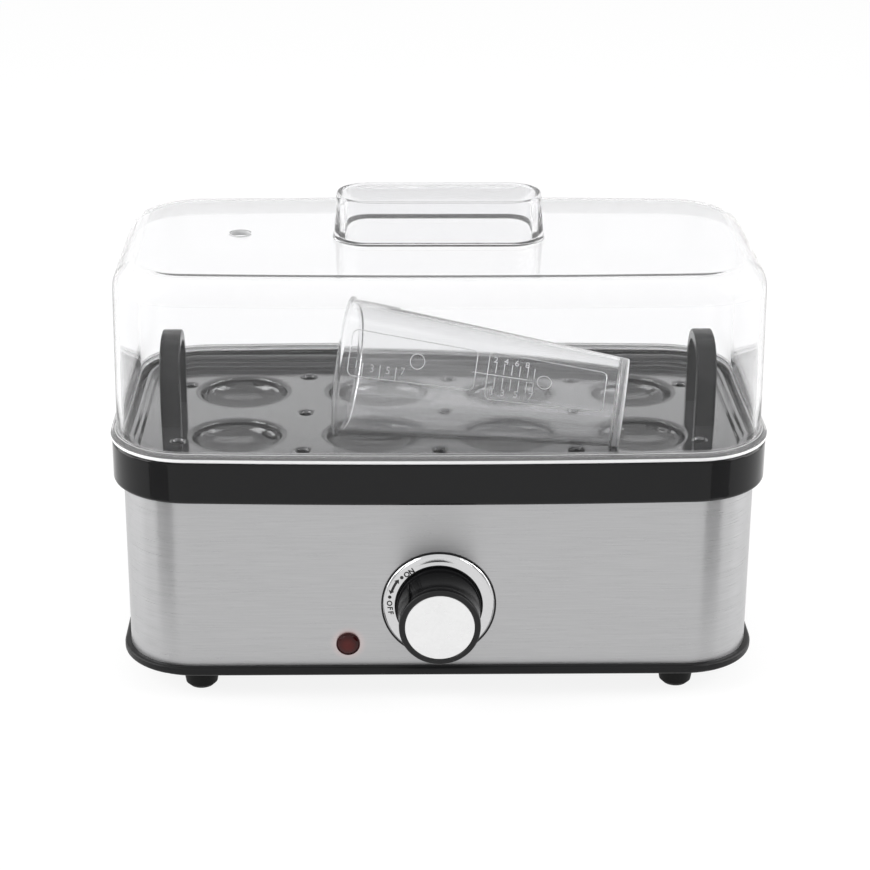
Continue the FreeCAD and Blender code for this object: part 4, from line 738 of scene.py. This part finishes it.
# ------------------------------------------------------------
# Water pan, heater and mains parts
# Drawn stainless pan on a red silicone seal, with the heater, thermostat, thermal fuse and
# terminal block out of sight below it.
# ------------------------------------------------------------

pan_steel = surface("pan_steel", (0.6, 0.6, 0.61), 1.0, 0.24, 0.004, 0.00001)
dress(pan_steel, "water_pan")
silicone = surface("silicone", (0.35, 0.05, 0.03), 0.0, 0.6, 0.001, 0.00002)
dress(silicone, "pan_seal")
cast_aluminium = surface("cast_aluminium", (0.7, 0.7, 0.72), 1.0, 0.4, 0.0008, 0.00004)
dress(cast_aluminium, "heat_plate", "thermostat", "thermal_fuse")
element_sheath = surface("element_sheath", (0.34, 0.33, 0.33), 1.0, 0.4, 0.002, 0.00002)
dress(element_sheath, "heating_element")
white_moulding = surface("white_moulding", (0.8, 0.8, 0.78), 0.0, 0.45, 0.0008, 0.00002)
dress(white_moulding, "terminal_block")
brass = surface("brass_screws", (0.7, 0.53, 0.25), 1.0, 0.3, 0.0006, 0.00001)
dress(brass, "terminal_screws")

# ------------------------------------------------------------
# Egg tray
# Dark grey glossy moulding with a stepped raised edge. Eight round cups hold the eggs by
# their blunt ends, and countersunk holes between them let the steam up.
# ------------------------------------------------------------


def long_loop(half_x, half_y, corner, level, bow=None, steps=14, side_steps=24):
    """Points round a rounded rectangle, anticlockwise; a bow radius curves its long sides."""
    near_x = half_x - corner
    near_y = half_y - corner
    swing = 0.0
    if bow:
        near_y = math.sqrt((bow - corner) ** 2 - near_x ** 2) - (bow - half_y)
        swing = math.asin(near_x / (bow - corner))
    front = []
    for step in range(side_steps + 1):
        share = 2.0 * step / side_steps - 1.0
        if bow:
            angle = swing * share
            front.append((bow * math.sin(angle), bow - half_y - bow * math.cos(angle)))
        else:
            front.append((near_x * share, -half_y))
    for step in range(1, steps + 1):
        angle = -math.pi / 2 + swing + (math.pi / 2 - swing) * step / steps
        front.append((near_x + corner * math.cos(angle), corner * math.sin(angle) - near_y))
    side = front[side_steps + 1:]
    right = front + [(x, -y) for x, y in reversed(side)]
    left = [(-x, -y) for x, y in right]
    return [Vector((x, y + middle_y, level)) for x, y in right + left]


def add_ring(mesh, points):
    """Add a ring of vertices."""
    return [mesh.verts.new(point) for point in points]


def bridge(mesh, rings, closed=True):
    """Join each ring, or open row, to the next with a band of faces."""
    for lower, upper in zip(rings, rings[1:]):
        for step in range(len(lower) if closed else len(lower) - 1):
            after = (step + 1) % len(lower)
            mesh.faces.new((lower[step], lower[after], upper[after], upper[step]))


def fill_flat(mesh, *rings):
    """Close the flat area inside the first ring and outside the others."""
    edges = []
    for ring in rings:
        for step, vertex in enumerate(ring):
            pair = (vertex, ring[(step + 1) % len(ring)])
            edges.append(mesh.edges.get(pair) or mesh.edges.new(pair))
    bmesh.ops.triangle_fill(mesh, use_beauty=True, use_dissolve=False, edges=edges)


def circle_ring(mesh, centre_x, centre_y, radius, level, steps):
    """Add a ring of vertices on a circle."""
    return add_ring(
        mesh,
        [
            (centre_x + radius * math.cos(2 * math.pi * step / steps),
             centre_y + radius * math.sin(2 * math.pi * step / steps), level)
            for step in range(steps)
        ],
    )


def quarter(steps):
    """Angles of a quarter turn in equal steps."""
    return [math.pi / 2 * step / steps for step in range(steps + 1)]


tray_low, tray_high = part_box("egg_tray")
tray_edge, tray_wall = 0.0043, 0.0018
tray_lip = tray_high.z
tray_floor = tray_lip - tray_edge
tray_under = tray_floor - tray_wall
tray_half_x = (tray_high.x - tray_low.x) / 2
tray_half_y = (tray_high.y - tray_low.y) / 2


def tray_loop(inset, level):
    """One ring of the tray's raised edge at an inset from its outer face."""
    return long_loop(tray_half_x - inset, tray_half_y - inset, 0.0245 - inset, level)


tray_grey = surface("tray_grey", (0.032, 0.032, 0.0335), 0.0, 0.1, 0.004, 0.000002)
tray_shader = tray_grey.node_tree.nodes["Principled BSDF"]
tray_shader.inputs["Coat Weight"].default_value = 1.0
tray_shader.inputs["Coat Roughness"].default_value = 0.08
# The cups' hollows take a darker, shinier copy of the tray's grey. The darker tone is painted
# shade in the hollows.
cup_grey_shaded = surface(
    "cup_grey_shaded", (0.012, 0.012, 0.0125), 0.0, 0.12, 0.004, 0.000002, specular=1.0
)
tray_mesh = bmesh.new()
tray_rings = [
    add_ring(tray_mesh, tray_loop(inset, level))
    for inset, level in (
        (0.0050, tray_floor), (0.0042, tray_floor), (0.0038, tray_floor + 0.0001),
        (0.0036, tray_floor + 0.0003), (0.0035, tray_floor + 0.0007),
        (0.0035, tray_floor + 0.0015), (0.0034, tray_floor + 0.0018),
        (0.0032, tray_floor + 0.0020), (0.0028, tray_floor + 0.0020),
        (0.0021, tray_floor + 0.0020), (0.0019, tray_floor + 0.0021),
        (0.0018, tray_floor + 0.0024), (0.0018, tray_lip - 0.0005),
        (0.0016, tray_lip - 0.0001), (0.0012, tray_lip), (0.0006, tray_lip),
        (0.0002, tray_lip - 0.0001), (0.0, tray_lip - 0.0005), (0.0, tray_under + 0.0005),
        (0.0003, tray_under + 0.0001), (0.0008, tray_under), (0.0050, tray_under),
    )
]
bridge(tray_mesh, tray_rings)

cup_spots = [(x, middle_y + y) for x in (-0.0786, -0.0262, 0.0262, 0.0786)
             for y in (-0.0247, 0.0247)]
hole_spots = [(x, middle_y + y) for x in (-0.0524, 0.0, 0.0524) for y in (-0.0415, 0.0, 0.0415)]
hole_spots += [(x, middle_y + y) for x in (-0.101, 0.101) for y in (-0.032, 0.032)]
cup_top, cup_foot_radius, cup_steps = 0.0196, 0.0205, 64
hole_top, hole_foot_radius, hole_steps = 0.0042, 0.0026, 32
above, below = [], []
for x, y in cup_spots:
    above.append(circle_ring(tray_mesh, x, y, cup_top, tray_floor, cup_steps))
    below.append(circle_ring(tray_mesh, x, y, cup_foot_radius, tray_under, cup_steps))
for x, y in hole_spots:
    above.append(circle_ring(tray_mesh, x, y, hole_top, tray_floor, hole_steps))
    below.append(circle_ring(tray_mesh, x, y, hole_foot_radius, tray_under, hole_steps))
fill_flat(tray_mesh, tray_rings[0], *above)
fill_flat(tray_mesh, tray_rings[-1], *below)

# One cup, with a skin above and one below, and one steam hole, a band through the floor.
# Their rims meet the openings made for them.
cup_profile = [(cup_top, 0.0)]
cup_profile += [(0.0186 - 0.0016 * math.sin(angle), -0.0016 + 0.0016 * math.cos(angle))
                for angle in quarter(6)]
cup_profile += [(0.0170 * math.cos(angle), -0.0016 - 0.0074 * math.sin(angle))
                for angle in quarter(16)[1:-1]]
cup_profile += [(0.0, -0.0090)]
cup_under = [(0.0, -0.0108)]
cup_under += [(0.0188 * math.cos(angle), -0.0034 - 0.0074 * math.sin(angle))
              for angle in reversed(quarter(12)[:-1])]
cup_under += [(0.0205 - 0.0017 * math.cos(angle), -0.0035 + 0.0017 * math.sin(angle))
              for angle in quarter(5)[1:-1]]
cup_under += [(cup_foot_radius, -tray_wall)]
cup_bowl = turned(cup_profile, cup_steps)
cup_back = bpy.data.meshes.new("cup_back")
turned(cup_under, cup_steps).to_mesh(cup_back)
cup_bowl.from_mesh(cup_back)
cup_pattern = piece_from(cup_bowl, "cup_pattern", [tray_grey])
hole_pattern = piece_from(
    turned(
        [(hole_top, 0.0), (0.0034, 0.0), (0.0032, -0.00012), (0.0026, -0.0008),
         (0.0025, -0.0010), (0.0025, -0.0016), (hole_foot_radius, -tray_wall)],
        hole_steps,
    ),
    "hole_pattern",
    [tray_grey],
)
stand_still = patterned_tree("tray_hollows", turn_by=0.0)
for name, spots, pattern in (("cups", cup_spots, cup_pattern),
                             ("holes", hole_spots, hole_pattern)):
    hollows = grow(
        points_object(name, [(x, y, tray_floor) for x, y in spots]),
        stand_still,
        {"Pattern": pattern, "Finish": tray_grey},
        name,
    )
    # The cups' faces take the darker copy of the tray's grey, which is painted shade.
    for polygon in hollows.data.polygons:
        polygon.material_index = 1 if name == "cups" else 0
    tray_mesh.from_mesh(hollows.data)
    bpy.data.objects.remove(hollows)
    bpy.data.objects.remove(pattern)
bmesh.ops.remove_doubles(tray_mesh, verts=tray_mesh.verts, dist=0.00001)
bmesh.ops.recalc_face_normals(tray_mesh, faces=tray_mesh.faces)
tray = piece_from(tray_mesh, "tray_moulding", [tray_grey, cup_grey_shaded], crease=40.0)
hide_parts("egg_tray")
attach(tray, "tray")

# ------------------------------------------------------------
# Tray grips
# Two arched straps moulded in black, one at each end of the tray. The tenons at their feet
# are locked in slots of the tray.
# ------------------------------------------------------------

grip_black = surface(
    "grip_black", (0.009, 0.009, 0.0095), 0.0, 0.22, 0.001, 0.00001, specular=0.18
)
dress(grip_black, "tray_handle_left", "tray_handle_right")

# ------------------------------------------------------------
# Measuring cup
# Clear tapered beaker with a turned-out lip, moulded in one piece. It lies loose on its side
# on the tray, its mouth to the left, and its thick base is frosted.
# ------------------------------------------------------------


def clear_plastic(name, color, rough, ior, clear):
    """Make clear plastic with the faintest waviness and haze of a moulding."""
    material = surface(name, color, 0.0, rough, 0.03, 0.0000015, spread=0.0)
    shader = material.node_tree.nodes["Principled BSDF"]
    shader.inputs["Transmission Weight"].default_value = clear
    shader.inputs["IOR"].default_value = ior
    return material


cup_plastic = clear_plastic("cup_plastic", (0.97, 0.972, 0.975), 0.05, 1.4, 0.965)
cup_length, cup_wall = 0.109, 0.107
cup_base, cup_mouth, cup_lip = 0.0172, 0.0264, 0.0277
cup_lean = math.atan((cup_lip - cup_base) / cup_length)
cup_turn = math.radians(172.9)
cup_heading = Vector((math.cos(cup_turn), math.sin(cup_turn), 0))
cup_axis = cup_heading * math.cos(cup_lean) + Vector((0, 0, math.sin(cup_lean)))
cup_up = Vector((0, 0, math.cos(cup_lean))) - cup_heading * math.sin(cup_lean)
cup_foot = Vector((0.0688, middle_y - 0.0361, tray_floor + 0.0003)) + cup_up * cup_base
cup_place = Matrix.Translation(cup_foot) @ Matrix(
    (cup_up, cup_axis.cross(cup_up), cup_axis)
).transposed().to_4x4()
base_frost = clear_plastic("base_frost", (0.95, 0.95, 0.95), 0.4, 1.4, 0.3)
cup_mesh = turned(
    [(0, 0.0016), (0.0152, 0.0016), (0.0158, 0.0015), (0.0160, 0.0012), (0.0160, 0.0004),
     (0.0162, 0.0001), (0.0166, 0.0), (0.0170, 0.0001), (0.01725, 0.0006),
     (0.0264, 0.1067), (0.0265, 0.1070), (0.0269, 0.1073), (0.0274, 0.10745),
     (0.0276, 0.1077), (0.0277, 0.1081), (0.0276, 0.1086), (0.0274, 0.1089),
     (0.0270, 0.1090), (0.0260, 0.1090), (0.0255, 0.1089), (0.0252, 0.1086),
     (0.02515, 0.1080), (0.0163, 0.0043), (0.0160, 0.0035), (0.0154, 0.0030),
     (0.0144, 0.0028), (0, 0.0028)],
    steps=144,
)
for face in cup_mesh.faces:
    if face.calc_center_median().z < 0.0032:
        face.material_index = 1
cup = piece_from(cup_mesh, "beaker", [cup_plastic, base_frost], cup_place, crease=50.0)
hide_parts("measuring_cup")
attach(cup, "cup")

# ------------------------------------------------------------
# Measuring cup's scale
# Two framed scales moulded in low relief on the cup's side, with a stroke and a number for
# each count of eggs and a plain ring beside each. They are drawn flat and wrapped round it.
# ------------------------------------------------------------

mark_plastic = clear_plastic("mark_plastic", (0.93, 0.93, 0.94), 0.3, 1.46, 0.66)
wrap_radius = 0.0218


def wrap_tree():
    """Geometry nodes that bend a flat drawing round a cone."""
    tree, given, real = finished_tree(
        "wrap_round_cone",
        [(name, "NodeSocketFloat") for name in ("Base Radius", "Slope", "Drawing Radius")],
    )
    where = tree.nodes.new("GeometryNodeInputPosition")
    split = tree.nodes.new("ShaderNodeSeparateXYZ")

    def calculate(operation, first, second=None):
        """Work on one or two sockets and return the result's socket."""
        node = tree.nodes.new("ShaderNodeMath")
        node.operation = operation
        tree.links.new(first, node.inputs[0])
        if second is not None:
            tree.links.new(second, node.inputs[1])
        return node.outputs["Value"]

    angle = calculate("DIVIDE", split.outputs["Y"], given.outputs["Drawing Radius"])
    widening = calculate("MULTIPLY", split.outputs["X"], given.outputs["Slope"])
    radius = calculate("ADD", given.outputs["Base Radius"], widening)
    radius = calculate("ADD", radius, split.outputs["Z"])
    join = tree.nodes.new("ShaderNodeCombineXYZ")
    for axis, operation in (("X", "COSINE"), ("Y", "SINE")):
        reach = calculate("MULTIPLY", radius, calculate(operation, angle))
        tree.links.new(reach, join.inputs[axis])
    bend = tree.nodes.new("GeometryNodeSetPosition")
    wire(
        tree,
        (where, "Position", split, "Vector"),
        (split, "X", join, "Z"),
        (given, "Geometry", bend, "Geometry"),
        (join, "Vector", bend, "Position"),
        (bend, "Geometry", real, "Geometry"),
    )
    return tree


def ridge(mesh, path, closed=True):
    """Raise a low rounded ridge along a flat path."""
    width, height, sunk = 0.0004, 0.00014, 0.00004
    rings = []
    count = len(path)
    for across, level in ((-0.5, -sunk), (-0.28, height * 0.75), (0, height),
                          (0.28, height * 0.75), (0.5, -sunk)):
        ring = []
        for step, point in enumerate(path):
            before = path[(step - 1) % count] if closed or step else point
            after = path[(step + 1) % count] if closed or step < count - 1 else point
            along = (Vector(after) - Vector(before)).normalized()
            ring.append(
                mesh.verts.new(
                    (point[0] - along.y * width * across, point[1] + along.x * width * across,
                     level)
                )
            )
        rings.append(ring)
    bridge(mesh, rings + rings[:1], closed)
    if not closed:
        for end in (0, -1):
            mesh.faces.new([ring[end] for ring in rings])


def framed(low_u, high_u, low_angle, high_angle, corner=0.0022):
    """Points round a rounded frame; its sides are at angles round the cup."""
    low_v = math.radians(low_angle) * wrap_radius
    high_v = math.radians(high_angle) * wrap_radius
    straight = high_v - low_v - 2 * corner
    path = []
    for turn, u, v in ((0, high_u, high_v), (1, low_u, high_v), (2, low_u, low_v),
                       (3, high_u, low_v)):
        centre_u = u - corner if u == high_u else u + corner
        centre_v = v - corner if v == high_v else v + corner
        for step in range(7):
            angle = math.pi / 2 * (turn + step / 6)
            path.append((centre_u + corner * math.cos(angle), centre_v + corner * math.sin(angle)))
        if turn % 2:
            way = -1 if turn == 1 else 1
            for step in range(1, 12):
                path.append((path[-1][0], centre_v + way * straight * (step / 12)))
    return path


scale_drawing = bmesh.new()
ridge(scale_drawing, framed(0.0570, 0.1045, -76, -35))
ridge(scale_drawing, framed(0.0080, 0.0525, -83, -33))
for u, angle in ((0.0790, -56), (0.0310, -58)):
    v = math.radians(angle) * wrap_radius
    ridge(
        scale_drawing,
        [(u + 0.0027 * math.cos(turn), v + 0.0027 * math.sin(turn))
         for turn in [step * math.pi / 18 for step in range(36)]],
    )
middle_v = math.radians(-58) * wrap_radius
ridge(scale_drawing, [(0.0585 - 0.006 * step, middle_v) for step in range(5)], closed=False)

tick = bmesh.new()
ridge(tick, [(0.0, -0.0022 + 0.0011 * step) for step in range(5)], closed=False)
tick_pattern = piece_from(tick, "tick_pattern", [mark_plastic])
tick_spots = [
    (u, math.radians(angle) * wrap_radius, 0.0)
    for levels, angles in (
        ((0.0990, 0.0925, 0.0865), (-70,)),
        ((0.0495, 0.0465, 0.0435, 0.0405, 0.0375, 0.0350), (-50, -66)),
    )
    for u in levels
    for angle in angles
]
ticks = grow(
    points_object("ticks", tick_spots),
    stand_still,
    {"Pattern": tick_pattern, "Finish": mark_plastic},
    "ticks",
)
scale_drawing.from_mesh(ticks.data)
bpy.data.objects.remove(ticks)
bpy.data.objects.remove(tick_pattern)


def flat_number(number, u, angle):
    """Draw a raised number whose top points round the cup."""
    data = lettering(number, 0.0036, 0.00009)
    data.transform(
        Matrix.Translation((u, math.radians(angle) * wrap_radius, 0.00004))
        @ Matrix.Diagonal((-1, 1, 1, 1))
    )
    data.flip_normals()
    scale_drawing.from_mesh(data)
    bpy.data.meshes.remove(data)


for number, u, angle in (
    ("1", 0.1015, -66), ("3", 0.0955, -68), ("5", 0.0895, -68), ("7", 0.0840, -67),
    ("2", 0.0500, -42), ("4", 0.0460, -42), ("6", 0.0420, -42), ("8", 0.0380, -42),
    ("1", 0.0500, -75), ("3", 0.0460, -75), ("5", 0.0410, -75), ("7", 0.0355, -75),
):
    flat_number(number, u, angle)
flat_scale = piece_from(scale_drawing, "flat_scale", [mark_plastic])
cup_scale = grow(
    flat_scale,
    wrap_tree(),
    {"Base Radius": cup_base, "Slope": (cup_mouth - cup_base) / cup_wall,
     "Drawing Radius": wrap_radius, "Finish": mark_plastic},
    "beaker_scale",
)
cup_scale.data.transform(cup_place)
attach(cup_scale, "cup")

# ------------------------------------------------------------
# Lid
# Clear dome in one moulding: a flange that sits on the rim with a rib inside it, thin walls
# with a well-rounded top, a stadium-shaped grip ring and one vent hole.
# ------------------------------------------------------------

# The lid's clear plastic and less clear copies of it. The whiter copies on the vent's wall, the
# flange and the bends are painted highlights for the bright lines along the lid's edges. The
# grip's copy is a little hazier.
lid_finishes = [
    clear_plastic(name, tint, rough, 1.25, clear)
    for name, tint, rough, clear in (
        ("lid_plastic", (0.985, 0.985, 0.99), 0.015, 0.985),
        ("edge_plastic_highlight", (0.97, 0.97, 0.975), 0.2, 0.4),
        ("grip_plastic", (0.985, 0.985, 0.99), 0.015, 0.93),
        ("bend_plastic_highlight", (0.985, 0.985, 0.99), 0.015, 0.82),
        ("flange_plastic_highlight", (0.99, 0.99, 0.99), 0.2, 0.05),
    )
]
edge_highlight_index, grip_index, bend_highlight_index, flange_highlight_index = 1, 2, 3, 4  # in the list above

rim_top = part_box("top_rim")[1].z
lid_rise, lid_bend, lid_wall = 0.0695, 0.010, 0.0020
lid_crown = rim_top + lid_rise


def wall_loop(level, inset):
    """One ring of the lid's wall at a level, inside its outer face by the inset."""
    drawn_in = (level - rim_top) / lid_rise * 0.001 + inset
    return long_loop(0.1243 - drawn_in, 0.0623 - drawn_in, 0.0293 - drawn_in, level, bow=2.2)


def crown_loops(depth, steps):
    """Rings of the bend at the lid's top and one on its flat, at a depth in the plastic."""
    radius = lid_bend - depth
    loops = []
    for angle in quarter(steps)[1:]:
        level = lid_crown - lid_bend + radius * math.sin(angle)
        loops.append(wall_loop(level, depth + radius * (1 - math.cos(angle))))
    return loops + [wall_loop(lid_crown - depth, lid_bend + 0.0008)]


def grip_loop(outward, level):
    """One ring of the lid's grip, a stadium grown outward."""
    return long_loop(
        0.0395 + outward, 0.0146 + outward, 0.0125 + outward, level, steps=12, side_steps=4
    )


lid_mesh = bmesh.new()
outside = [add_ring(lid_mesh, wall_loop(rim_top, 0.0008))]
for inset, rise in (
    (0.0007, 0.0), (0.0003, 0.0001), (0.0001, 0.0003), (0.0, 0.0007), (0.0, 0.0015),
    (0.0001, 0.0019), (0.0003, 0.0021), (0.0007, 0.0022),
):
    flange = long_loop(0.1264 - inset, 0.0664 - inset, 0.0314 - inset, rim_top + rise, bow=2.2)
    outside.append(add_ring(lid_mesh, flange))
for inset, rise in (
    (-0.0008, 0.0022), (-0.0004, 0.0023), (-0.0001, 0.0026), (0.0, 0.0031), (0.0, 0.017),
    (0.0, 0.031), (0.0, 0.045), (0.0, 0.0595),
):
    outside.append(add_ring(lid_mesh, wall_loop(rim_top + rise, inset)))
outside += [add_ring(lid_mesh, loop) for loop in crown_loops(0.0, 12)]

inside = [outside[0]]
for inset, rise in (
    (0.0008, -0.0020), (0.0010, -0.0022), (0.0018, -0.0022), (lid_wall, -0.0020),
    (lid_wall, 0.0), (lid_wall, 0.016), (lid_wall, 0.031), (lid_wall, 0.045),
    (lid_wall, 0.0595),
):
    inside.append(add_ring(lid_mesh, wall_loop(rim_top + rise, inset)))
inside += [add_ring(lid_mesh, loop) for loop in crown_loops(lid_wall, 10)]

grip = []
for outward, rise in (
    (0.0022, 0.0), (0.0016, 0.0), (0.0013, 0.0001), (0.0011, 0.0003), (0.0010, 0.0006),
    (0.0, 0.0161), (-0.0002, 0.0166), (-0.0006, 0.0169), (-0.0011, 0.0170),
    (-0.0016, 0.0169), (-0.0020, 0.0166), (-0.0022, 0.0161), (-0.0023, 0.0006),
    (-0.0024, 0.0003), (-0.0026, 0.0001), (-0.0030, 0.0), (-0.0038, 0.0),
):
    grip.append(add_ring(lid_mesh, grip_loop(outward, lid_crown + rise)))
vent_spot = (-0.077, middle_y + 0.002)
vent = []
for radius, drop in (
    (0.0047, 0.0), (0.0041, 0.0), (0.0039, 0.0002), (0.0039, 0.0018), (0.0041, lid_wall),
    (0.0047, lid_wall),
):
    vent.append(circle_ring(lid_mesh, *vent_spot, radius, lid_crown - drop, 40))
for rings in (outside, inside, grip, vent):
    bridge(lid_mesh, rings)
fill_flat(lid_mesh, outside[-1], grip[0], vent[0])
fill_flat(lid_mesh, grip[-1])
fill_flat(lid_mesh, inside[-1], vent[-1])
bmesh.ops.recalc_face_normals(lid_mesh, faces=lid_mesh.faces)
# The vent's wall, the flange and the lid's bends at foot and crown take the whiter copies, which
# are painted highlights.
for face in lid_mesh.faces:
    middle = face.calc_center_median()
    rise = middle.z - rim_top
    in_vent = (middle.xy - Vector(vent_spot)).length < 0.0042
    level_face = abs(face.normal.z) >= 0.995
    if in_vent or 0.00223 < rise < 0.0023:  # the vent's wall and the top of the flange's bend
        face.material_index = edge_highlight_index
    elif 0 < rise < 0.0012:  # the flange's side
        face.material_index = flange_highlight_index
    elif rise > lid_rise + 0.0001:  # the grip
        face.material_index = grip_index
    elif 0 < rise < 0.0029 or rise > 0.0590 and not level_face:  # the foot and the crown's bend
        face.material_index = bend_highlight_index
lid = piece_from(lid_mesh, "lid_dome", lid_finishes, crease=60.0)
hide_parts("clear_lid")
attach(lid, "lid")
